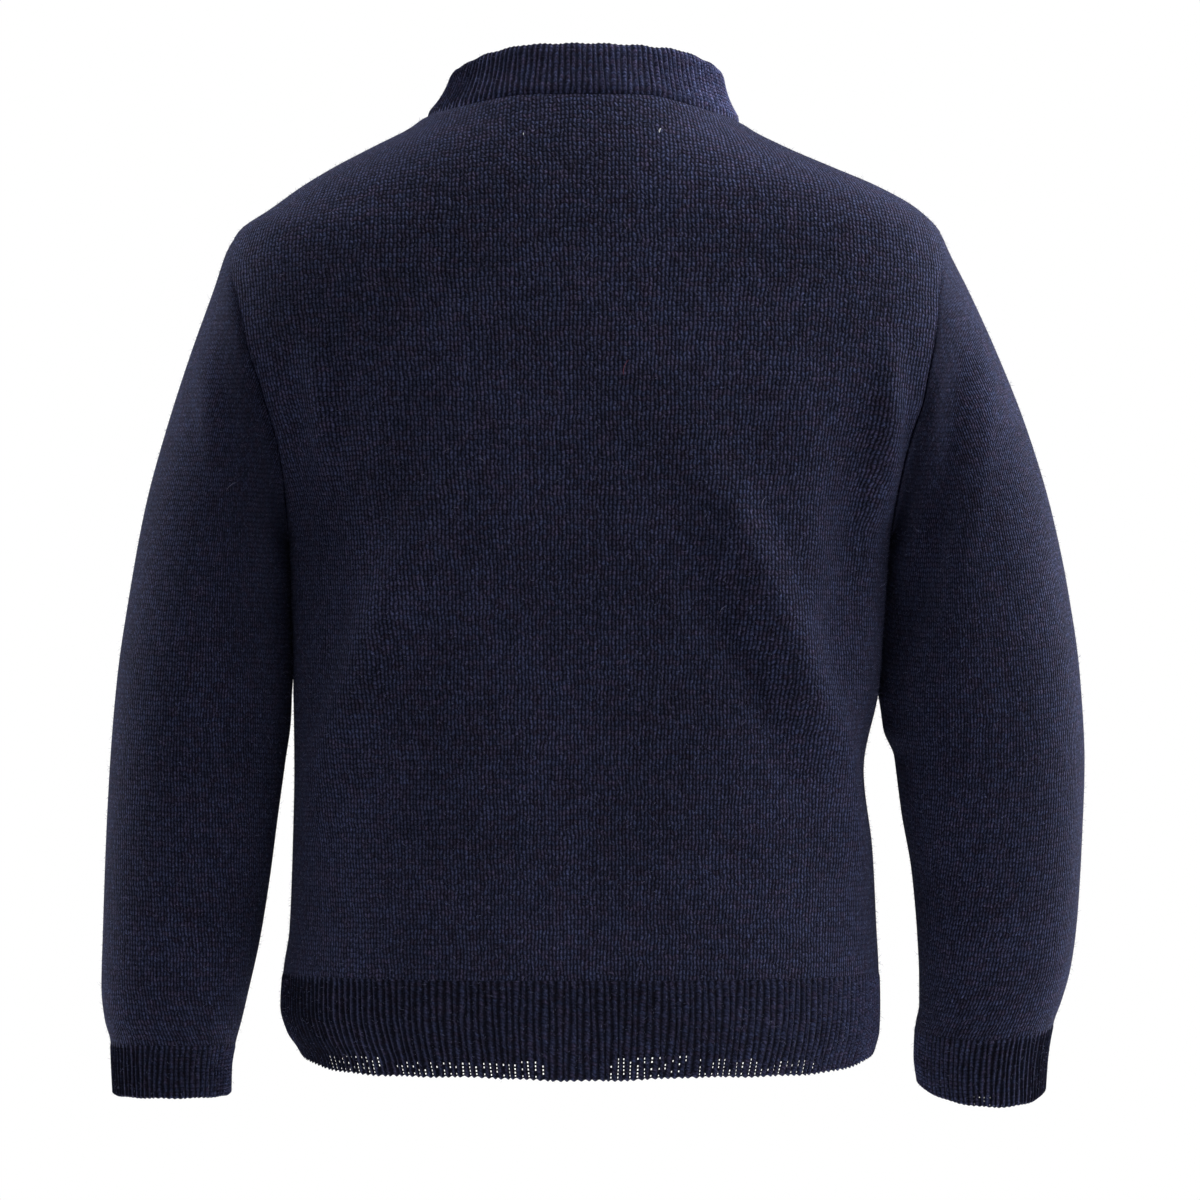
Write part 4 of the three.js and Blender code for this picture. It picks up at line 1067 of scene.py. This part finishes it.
def makeNeckband(look):
    half = bands["width"] / 2
    start = float(angleAtFront(half, neckline["front"]))
    end = float(angleAtFront(-half, neckline["front"])) + fullTurn
    fine = np.linspace(start, end, 2400)
    length = runLengths(bareNeckband(fine, 0.5)[None], 1)[0]
    t = np.linspace(0, 1, look["rows"] + 1)[:, None]
    counts, strayed, free = ribCounts(0, length[-1] / look["ribWide"], t, look["stray"])
    angle = np.interp(strayed * look["ribWide"], length, fine)
    height = np.broadcast_to(t, angle.shape)
    points, normals = neckbandPoint(angle, height, neckbandLapShift(angle)), neckbandNormal(angle)
    up = runLengths(points, 0)
    wave = look["scallop"] * (np.cos(fullTurn * counts) + 0.7 * np.sin(1.05 * counts))
    points = points + np.array([0, 0, 1]) * (wave * (1 - smooth(up[-1:] - up, 0, 2)))[..., None]
    weight = (1 - smooth(up, 0, panelLook["turnReach"]))[..., None]
    inward = -unit(mix(normals, neckSeamNormal(angle), weight))
    sewn = points + inward * rolled(up, look["roll"], panelLook["rollReach"])[..., None]
    fade = smooth(up, 0.2, 2.6) * np.minimum(1, free * 4)
    outer, inner = ribbed(sewn, normals, inward, counts, look["high"], fade, cloth["wall"])
    roundEdge(outer, inner, (-1, -2))
    drawBack(outer, "bottom")
    # The neckband's rib is the copy painted lighter, as painted light.
    finishCloth("neckband", "rib", ["back", "front_left", "front_right"], points, outer, inner, normals,
                ribStitches(counts, up), [paintedLighterRibStitch])


makeNeckband(neckbandLook)
print("neckband made")


# ---- sleeves and cuffs

sleeveLook = {
    "waleWide": 2.78, "courseHigh": 2.1, "columns": 104, "seamRoll": 0.7, "headRoll": 0.35,
    "leanFrom": {"left": (-240, -228), "right": (-266, -254)},  # heights where it starts to lean
    "leanTo": (-172, -162),  # and where it stops
    "leanMost": 3,
}
cuffLook = {"ribWide": 2.3, "high": 0.7, "rows": 34, "stray": 0.2, "scallop": 0.3, "seamRoll": 0.7,
            "open": (146, 176)}  # loose stitches on the right cuff lie between these x


# Ring numbers at even lengths along a sleeve, with small steps at the armhole.
def sleeveRingNumbers(side, fromRing, toRing, spacing, fineStart):
    fine = np.linspace(fromRing, toRing, 300)
    runs = [runLengths(sleevePoint(side, fine, turn + 0 * fine)[None], 1)[0] for turn in (0.0, math.pi)]
    length = (runs[0] + runs[1]) / 2
    return np.interp(spaced(length[-1], spacing, fineStart) * length[-1], length, fine)


# A few loose stitches low down on the back of the right cuff.
def looseCuffStitches(points, counts):
    chance = np.random.default_rng(23).random((points.shape[0] - 1, points.shape[1] - 1))
    row = np.arange(points.shape[0] - 2, -1, -1)[:, None]
    step = np.round(counts[:-1] * ribSteps).astype(int) % ribSteps
    x, y = points[:-1, :-1, 0], points[:-1, :-1, 1]
    start, end = cuffLook["open"]
    share = (x - start) / (end - start)
    isOpen = (row % 2 == 1) & (row < 12 - 7 * share) & (step == ribSteps - 1)[None, :] & (y < 0)
    return isOpen & (x > start) & (x < end) & (chance < 0.62 - 0.3 * share)


# Under the arm the sleeve leans on the body, down to where it swings clear.
def leanOnBody(side, points, normals):
    sign = 1 if side == "right" else -1
    levels = np.arange(-300.0, -120.0, 2.0)[:, None]
    widest = (sign * bodyPoint(np.linspace(0, fullTurn, 721)[None, :], levels)[..., 0]).max(1)
    nearest = np.argmin(sign * points[..., 0], axis=1)
    ringX, ringZ = (points[np.arange(len(points)), nearest, i] for i in (0, 2))
    order = np.argsort(ringZ)
    gap = np.interp(levels[:, 0], ringZ[order], sign * ringX[order]) - widest
    z = points[..., 2]
    reach = smooth(z, *sleeveLook["leanFrom"][side]) * (1 - smooth(z, *sleeveLook["leanTo"]))
    push = np.clip(np.interp(z, levels[:, 0], gap) - cloth["seamGap"], 0, sleeveLook["leanMost"]) * reach
    facing = np.clip(-sign * normals[..., 0], 0, 1) ** 0.5
    print(f"sleeve {side} leans over by up to {push.max():.2f} mm")
    return points - np.array([sign, 0, 0]) * (push * facing)[..., None]


def makeSleeve(side):
    rings = sleeveRingNumbers(side, 0, cuffRing, cloth["spacing"], True)
    turns = np.linspace(math.pi, math.pi + fullTurn, sleeveLook["columns"] + 1)
    seamSteps = np.array([0.008, 0.022, 0.042, 0.068])  # turns close to the seam under the arm
    turns = np.unique(np.concatenate([turns, turns[0] + seamSteps, turns[-1] - seamSteps]))
    ring, turn = rings[:, None], turns[None, :]
    points, normals = sleevePoint(side, ring, turn), sleeveNormal(side, ring, turn)
    points = leanOnBody(side, points, normals)
    points[:, -1], normals[:, -1] = points[:, 0], normals[:, 0]
    around, down = runLengths(points, 1), runLengths(points, 0)
    toSeam = toNearerEnd(around)
    roll = np.maximum(rolled(toSeam, sleeveLook["seamRoll"], 3.5),
                      rolled(down, sleeveLook["headRoll"], panelLook["rollReach"]))
    weight = (1 - smooth(down, 0, panelLook["turnReach"]))[..., None]
    inward = -unit(mix(normals, armholeNormal(side, turn), weight))
    outer = points - normals * roll[..., None]
    drawBack(outer, "bottom", "top")
    outer[:, -1] = outer[:, 0]
    outerLine = np.argmin(np.abs(turns - fullTurn))
    u = (around - around[:, outerLine:outerLine + 1]) / sleeveLook["waleWide"]
    v = (down[-1:] - down) / sleeveLook["courseHigh"]
    finishCloth(f"sleeve_{side}", "stocking_stitch", ["back", f"front_{side}"], points, outer,
                outer + inward * cloth["wall"], normals, np.stack([u, v], -1),
                [stockingStitch, reverseStitch], looped=True)


def makeCuff(side):
    t = np.linspace(0, 1, cuffLook["rows"] + 1)[:, None]
    fine = np.linspace(math.pi, math.pi + fullTurn, 900)
    middle = runLengths(sleevePoint(side, 14 + 0 * fine, fine)[None], 1)[0]
    ribs = round(middle[-1] / cuffLook["ribWide"])
    counts, strayed, free = ribCounts(0, ribs, t, cuffLook["stray"])
    turn = np.interp(strayed * middle[-1] / ribs, middle, fine)
    wave = np.cos(fullTurn * counts) + 0.6 * np.sin(0.85 * counts)
    ring = mix(cuffRing, lastRing, t) + (wave * cuffLook["scallop"] / 14 - 0.03) * smooth(t, 0.94, 1)
    points, normals = sleevePoint(side, ring, turn), sleeveNormal(side, ring, turn)
    points[:, -1], normals[:, -1] = points[:, 0], normals[:, 0]
    around, down = runLengths(points, 1), runLengths(points, 0)
    toSeam = toNearerEnd(around)
    sewn = points - normals * rolled(toSeam, cuffLook["seamRoll"], 3)[..., None]
    fade = smooth(down, 0.2, 2.6) * np.minimum(1, free * 4)
    outer, inner = ribbed(sewn, normals, -normals, counts, cuffLook["high"], fade, cloth["wall"])
    roundEdge(outer, inner, (-1, -2))
    drawBack(outer, "bottom")
    for layer in (outer, inner):
        layer[:, -1] = layer[:, 0]
    finishCloth(f"cuff_{side}", "rib", [f"sleeve_{side}"], points, outer, inner, normals,
                ribStitches(counts, -down), [ribStitch], looped=True,
                holes=looseCuffStitches(points, counts) if side == "right" else None)


for side in ("left", "right"):
    makeSleeve(side)
    makeCuff(side)
print("sleeves and cuffs made")


# ---- loose fibres

fuzz = {
    "perArea": 0.1,  # fibres to a square millimetre
    "most": 64000,
    "wide": 0.1,
    "long": (1.2, 3.6),  # usual and greatest length
    "upright": 1.0,
}


# Many bent hairs, each a narrow strip that ends in a point.
def makeHairs(name, roots, normals, lengths, wide, upright, chance, material):
    count = len(roots)
    loose = chance.normal(size=(count, 3))
    flat = unit(loose - normals * dot(loose, normals))
    rise = (upright * chance.uniform(0.2, 1.3, count))[:, None]
    first = unit(normals * rise + flat * 0.6)
    bend = unit(np.cross(normals, flat)) * chance.normal(0, 0.5, (count, 1)) - normals * 0.35
    second = unit(first + bend)
    across = unit(np.cross(first, chance.normal(size=(count, 3)))) * wide / 2
    half = lengths[:, None] / 2
    middle = roots + first * half
    tip = middle + second * half
    points = np.stack([roots - across, roots + across, middle - across * 0.8, middle + across * 0.8,
                       tip], 1)
    corner = np.array([[0, 1, 3], [0, 3, 2], [2, 3, 4]])
    faces = (np.arange(count)[:, None, None] * 5 + corner).reshape(-1, 3)
    hairs = makeMesh(name, points.reshape(-1, 3), faces, [material])
    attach(hairs, "root")
    print(f"{name}: {count} hairs")


def scatter(grid, normals, perArea, chance):
    areas = cellAreas(grid)
    rows, columns = np.nonzero(chance.random(areas.shape) < areas * perArea)
    s, t = chance.random((2, len(rows), 1))

    def at(layer):
        low = mix(layer[rows, columns], layer[rows, columns + 1], s)
        return mix(low, mix(layer[rows + 1, columns], layer[rows + 1, columns + 1], s), t)

    return at(grid), unit(at(normals))


def makeFuzz(look):
    chance = np.random.default_rng(5)
    found = [scatter(grid, normals, look["perArea"], chance) for grid, normals in smoothGrids]
    roots, normals = (np.concatenate(part) for part in zip(*found))
    if len(roots) > look["most"]:
        kept = chance.permutation(len(roots))[:look["most"]]
        roots, normals = roots[kept], normals[kept]
    usual, greatest = look["long"]
    lengths = np.minimum(greatest, usual * chance.lognormal(0, 0.4, len(roots)))
    makeHairs("loose_fibres", roots, normals, lengths, look["wide"], look["upright"], chance, looseFibre)


makeFuzz(fuzz)


# ---- lint, and the ends of the thread that holds the neck label inside

# Cotton lint caught on the wool: paler and longer than the wool's own fibres.
lintFibre = makePlain("cotton_lint", "#9a96b4", 0.9, 1.53)
redLint = makePlain("cotton_lint_red", "#9c4a55", 0.9, 1.53)
# Spun polyester sewing thread, white: matt, and the brightest thing on the garment.
whiteThread = makePlain("polyester_sewing_thread", "#e6e8ee", 0.6, 1.57)
lint = {  # what it lies on, middle (x and height), lean in degrees, length, width, colour
    "lint_1": ("back", 17, -105, 70, 7.0, 0.16, redLint),
    "lint_2": ("sleeve", -146, -153, 40, 6.0, 0.16, lintFibre),
    "lint_3": ("back", -56, -139, 25, 3.5, 0.14, lintFibre),
    "lint_4": ("back", -42, -143, -30, 3.5, 0.14, lintFibre),
    "lint_5": ("sleeve", -122, -128, 4, 9.0, 0.14, lintFibre),
    "lint_6": ("back", 1, -60, 60, 4.0, 0.14, lintFibre),
    "lint_7": ("back", 73, -160, 65, 5.0, 0.14, lintFibre),
    "lint_8": ("back", 107, -143, 20, 4.5, 0.14, lintFibre),
    "lint_9": ("back", 57, -204, 50, 4.5, 0.14, lintFibre),
    "label_stitch_left": ("back", -25, -8.5, 80, 1.1, 0.5, whiteThread),
    "label_stitch_right": ("back", 31, -7.0, 70, 2.2, 0.7, whiteThread),
}
strandClear = 0.4  # from the cloth to the middle of a strand


# A strand that lies on the back or on the left sleeve, as a bent tube with three sides.
def makeStrand(name, lyingOn, x, z, lean, length, wide, material):
    t = np.linspace(-0.5, 0.5, 7)
    turn = math.radians(lean)
    bow = length * 0.12 * (1 - 4 * t ** 2)
    lineX = x + math.cos(turn) * length * t - math.sin(turn) * bow
    lineZ = z + math.sin(turn) * length * t + math.cos(turn) * bow
    if lyingOn == "sleeve":
        ring, turns = np.meshgrid(np.linspace(0, 12, 160), np.linspace(math.pi, 3 * math.pi, 240))
        skin, outward = sleevePoint("left", ring, turns), sleeveNormal("left", ring, turns)
        skin, outward = skin[outward[..., 1] < 0], outward[outward[..., 1] < 0]
        near = [np.argmin(np.hypot(skin[:, 0] - a, skin[:, 2] - b)) for a, b in zip(lineX, lineZ)]
        line = np.stack([lineX, skin[near, 1], lineZ], -1) + outward[near] * strandClear
    else:
        angles = np.linspace(math.pi, fullTurn, 400)
        across = bareBody(angles[None, :], lineZ[:, None])[..., 0]
        angle = np.array([np.interp(a, row, angles) for a, row in zip(lineX, across)])
        line = bodyPoint(angle, lineZ) + bodyNormal(angle, lineZ) * strandClear
    along = unit(np.gradient(line, axis=0))
    out = unit(np.cross(along, np.array([math.cos(turn + 1), 0.3, math.sin(turn + 1)])))
    beside = np.cross(along, out)
    spin = np.arange(3) * fullTurn / 3
    thin = np.sqrt(np.clip(1 - 4 * t ** 2, 0.02, 1))[:, None, None]
    ring = out[:, None] * np.cos(spin)[:, None] + beside[:, None] * np.sin(spin)[:, None]
    points = (line[:, None] + ring * thin * wide / 2).reshape(-1, 3)
    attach(makeMesh(name, points, tubeFaces(len(t), 3), [material]), "root")


for name, settings in lint.items():
    makeStrand(name, *settings)
print("fibres and lint made")


# ---- buttons

# Moulded polyester resin, dyed nearly black blue: smooth, with a clear highlight.
resin = makePlain("polyester_resin_moulded", "#171a2b", 0.28, 1.56)
# Spun polyester thread in the colour of the wool.
buttonThread = makePlain("polyester_button_thread", "#20233a", 0.7, 1.57)
button = {"radius": 6.25, "thick": 2.4, "holeOut": 1.75, "holeRadius": 0.85, "dish": 0.7,
          "threadWide": 0.75, "clear": 0.4}
buttonHeights = [-378, -313, -247, -181, -115]


# The outline of the middle plate is a square of 32 points. Rings lead from it to the rim and from each
# quarter of it to a hole.
def buttonMesh(name, look):
    shape = bmesh.new()
    half = look["holeOut"] / math.sqrt(2)
    spin = np.arange(16) * fullTurn / 16

    def level(radius):
        share = np.asarray(radius, float) / look["radius"]
        dished = look["dish"] * smooth(share, 0.62, 0.8)
        edge = np.clip((radius - look["radius"] + 0.9) / 0.9, 0, 1)
        return look["thick"] - look["dish"] + dished - 0.9 * (1 - np.sqrt(1 - edge ** 2))

    def square(turns, size):
        c, s = np.cos(turns), np.sin(turns)
        return np.stack([c, s], -1) * (size / np.maximum(np.abs(c), np.abs(s)))[:, None]

    def addRings(rings, heights):
        made = [[shape.verts.new((*p, h)) for p in ring] for ring, h in zip(rings, heights)]
        for one, two in zip(made[:-1], made[1:]):
            for i in range(len(one)):
                j = (i + 1) % len(one)
                shape.faces.new((one[i], one[j], two[j], two[i]))

    flat = level(0.0)
    for x in (-half, half):
        for y in (-half, half):
            middle = np.array([x, y])
            hole = middle + np.stack([np.cos(spin), np.sin(spin)], -1) * look["holeRadius"]
            wide = middle + np.stack([np.cos(spin), np.sin(spin)], -1) * (look["holeRadius"] + 0.15)
            cell = middle + square(spin, half)
            addRings([cell, wide, hole, hole, wide, cell],
                     [flat, flat, flat - 0.12, 0.12, 0.0, 0.0])
    q = math.tan(math.pi / 8)
    steps = half * np.array([-2, -1 - q, -1, -1 + q, 0, 1 - q, 1, 1 + q])
    border = np.concatenate([np.stack([c * 2 * half - s * steps, s * 2 * half + c * steps], -1)
                             for c, s in ((1, 0), (0, 1), (-1, 0), (0, -1))])
    turns = np.arctan2(border[:, 1], border[:, 0])
    radii = [look["radius"] * share for share in (0.6, 0.68, 0.76, 0.84, 0.9, 0.95, 0.985, 1.0)]
    rims = [np.stack([np.cos(turns), np.sin(turns)], -1) * r for r in radii]
    addRings([border, *rims, rims[-1], rims[-2], border],
             [flat, *[float(level(r)) for r in radii], 0.5, 0.0, 0.0])
    bmesh.ops.remove_doubles(shape, verts=shape.verts, dist=0.02)
    bmesh.ops.recalc_face_normals(shape, faces=shape.faces)
    mesh = bpy.data.meshes.new(name)
    shape.to_mesh(mesh)
    shape.free()
    mesh.set_sharp_from_angle(angle=math.radians(40))
    return mesh


# Two loops of thread that cross between the holes.
def threadMesh(name, look):
    t, spin = np.linspace(0, 1, 9), np.arange(6) * fullTurn / 6
    upward = np.array([0, 0, 1])
    reach, points, faces = look["holeOut"], [], []
    for turn in (math.pi / 4, 3 * math.pi / 4):
        for offset in (-0.22, 0.22):
            along = np.array([math.cos(turn), math.sin(turn), 0])
            across = np.array([-math.sin(turn), math.cos(turn), 0])
            up = look["thick"] - look["dish"] - 0.5 + 0.95 * np.sin(math.pi * t) ** 0.5
            up = up + (0.35 if turn > 1 else 0) * np.sin(math.pi * t)  # the second one lies on top
            line = along * (reach * (2 * t[:, None] - 1)) + across * offset + upward * up[:, None]
            ring = across * np.cos(spin)[:, None] + upward * np.sin(spin)[:, None]
            faces.append(tubeFaces(len(t), len(spin), sum(len(p) for p in points)))
            points.append((line[:, None] + ring * look["threadWide"] / 4).reshape(-1, 3))
    return np.concatenate(points), np.concatenate(faces)


def makeButton(name, seat, normal, look):
    side = unit(np.cross(np.array([0.0, 0.0, 1.0]), normal))
    turn = np.stack([side, np.cross(normal, side), normal])
    place = seat + normal * look["clear"]

    def put(points):
        return points @ turn + place

    mesh = buttonMesh(f"{name}_moulded", look)
    for vertex in mesh.vertices:
        vertex.co = put(np.array(vertex.co)) * toMetres
    mesh.materials.append(resin)
    disc = bpy.data.objects.new(f"{name}_moulded", mesh)
    bpy.context.scene.collection.objects.link(disc)
    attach(disc, "root")
    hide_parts(name)
    points, faces = threadMesh(f"{name}_thread", look)
    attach(makeMesh(f"{name}_thread", put(points), faces, [buttonThread]), "root")


for i, z in enumerate(buttonHeights):
    seat = bodyPoint(np.array(centreFront), np.array(float(z)), lapShift)
    makeButton(f"button_{i + 1}", seat, bodyNormal(np.array(centreFront), np.array(float(z))), button)
collar = np.array(centreFront)
seat = neckbandPoint(collar, np.array(0.5), np.array(lapShift))
makeButton("button_6", seat, neckbandNormal(collar), button)
print("buttons made")


# ---- floor, light and camera

# Matt white wall paint on a smooth floor.
matt = makePlain("matt_emulsion_paint", "#e9e9ea", 0.8, 1.5)
floorLook = {"side": 3000, "z": -620}
half = floorLook["side"] / 2
corners = np.array([(-half, -half, 0), (half, -half, 0), (half, half, 0), (-half, half, 0)], float)
corners[:, 2] = floorLook["z"]
floor = makeMesh("studio_floor", corners, np.array([[0, 1, 2, 3]]), [matt])

studio = {
    "ambient": 0.015,
    "lights": {  # place and target in metres, size, watts, colour
        "top_soft": ((0.1, -0.2, 1.7), (0, 0, -0.2), 1.0, 23.5, "#ffffff"),
        "high_right": ((1.0, 0.3, 1.3), (0, 0, -0.2), 1.0, 18, "#ffffff"),
        "key_right": ((1.45, -0.35, 0.6), (0, 0, -0.2), 0.9, 7.6, "#ffffff"),
        "edge_right": ((1.3, 0.9, 0.1), (0, 0, -0.2), 1.2, 24, "#f4f6ff"),
        "edge_left": ((-1.3, 0.8, 0.1), (0, 0, -0.2), 1.2, 17, "#f4f6ff"),
    },
}


def addLight(name, place, target, size, watts, colour):
    data = bpy.data.lights.new(name, "AREA")
    data.shape, data.size, data.energy = "DISK", size, watts
    data.color = toLinear(colour)[:3]
    light = bpy.data.objects.new(name, data)
    light.location = place
    aim = np.array(target) - np.array(place)
    flat = math.hypot(aim[0], aim[1])
    light.rotation_euler = (math.atan2(flat, -aim[2]), 0, math.atan2(-aim[0], aim[1]))
    bpy.context.scene.collection.objects.link(light)


for name, settings in studio["lights"].items():
    addLight(name, *settings)

world = bpy.data.worlds.new("pale_studio")
bpy.context.scene.world = world
world.use_nodes = True
world.node_tree.nodes.clear()
sight = addNode(world.node_tree, "LightPath")
bright = addNode(world.node_tree, "Background", {"Color": (1, 1, 1, 1), "Strength": 1.0})
dim = addNode(world.node_tree, "Background", {"Color": (1, 1, 1, 1), "Strength": studio["ambient"]})
seen = addNode(world.node_tree, "MixShader", [sight, dim, bright])
addNode(world.node_tree, "OutputWorld", {"Surface": seen})
bpy.context.scene.view_settings.view_transform = "Standard"

cameraData = bpy.data.cameras.new("camera")
cameraData.lens, cameraData.sensor_width, cameraData.clip_end = 200, 36, 100
camera = bpy.data.objects.new("camera", cameraData)
camera.location = (0.0063, -2.8, -0.2)
camera.rotation_euler = (math.pi / 2, 0, 0)
bpy.context.scene.collection.objects.link(camera)
bpy.context.scene.camera = camera
print("light and camera placed")
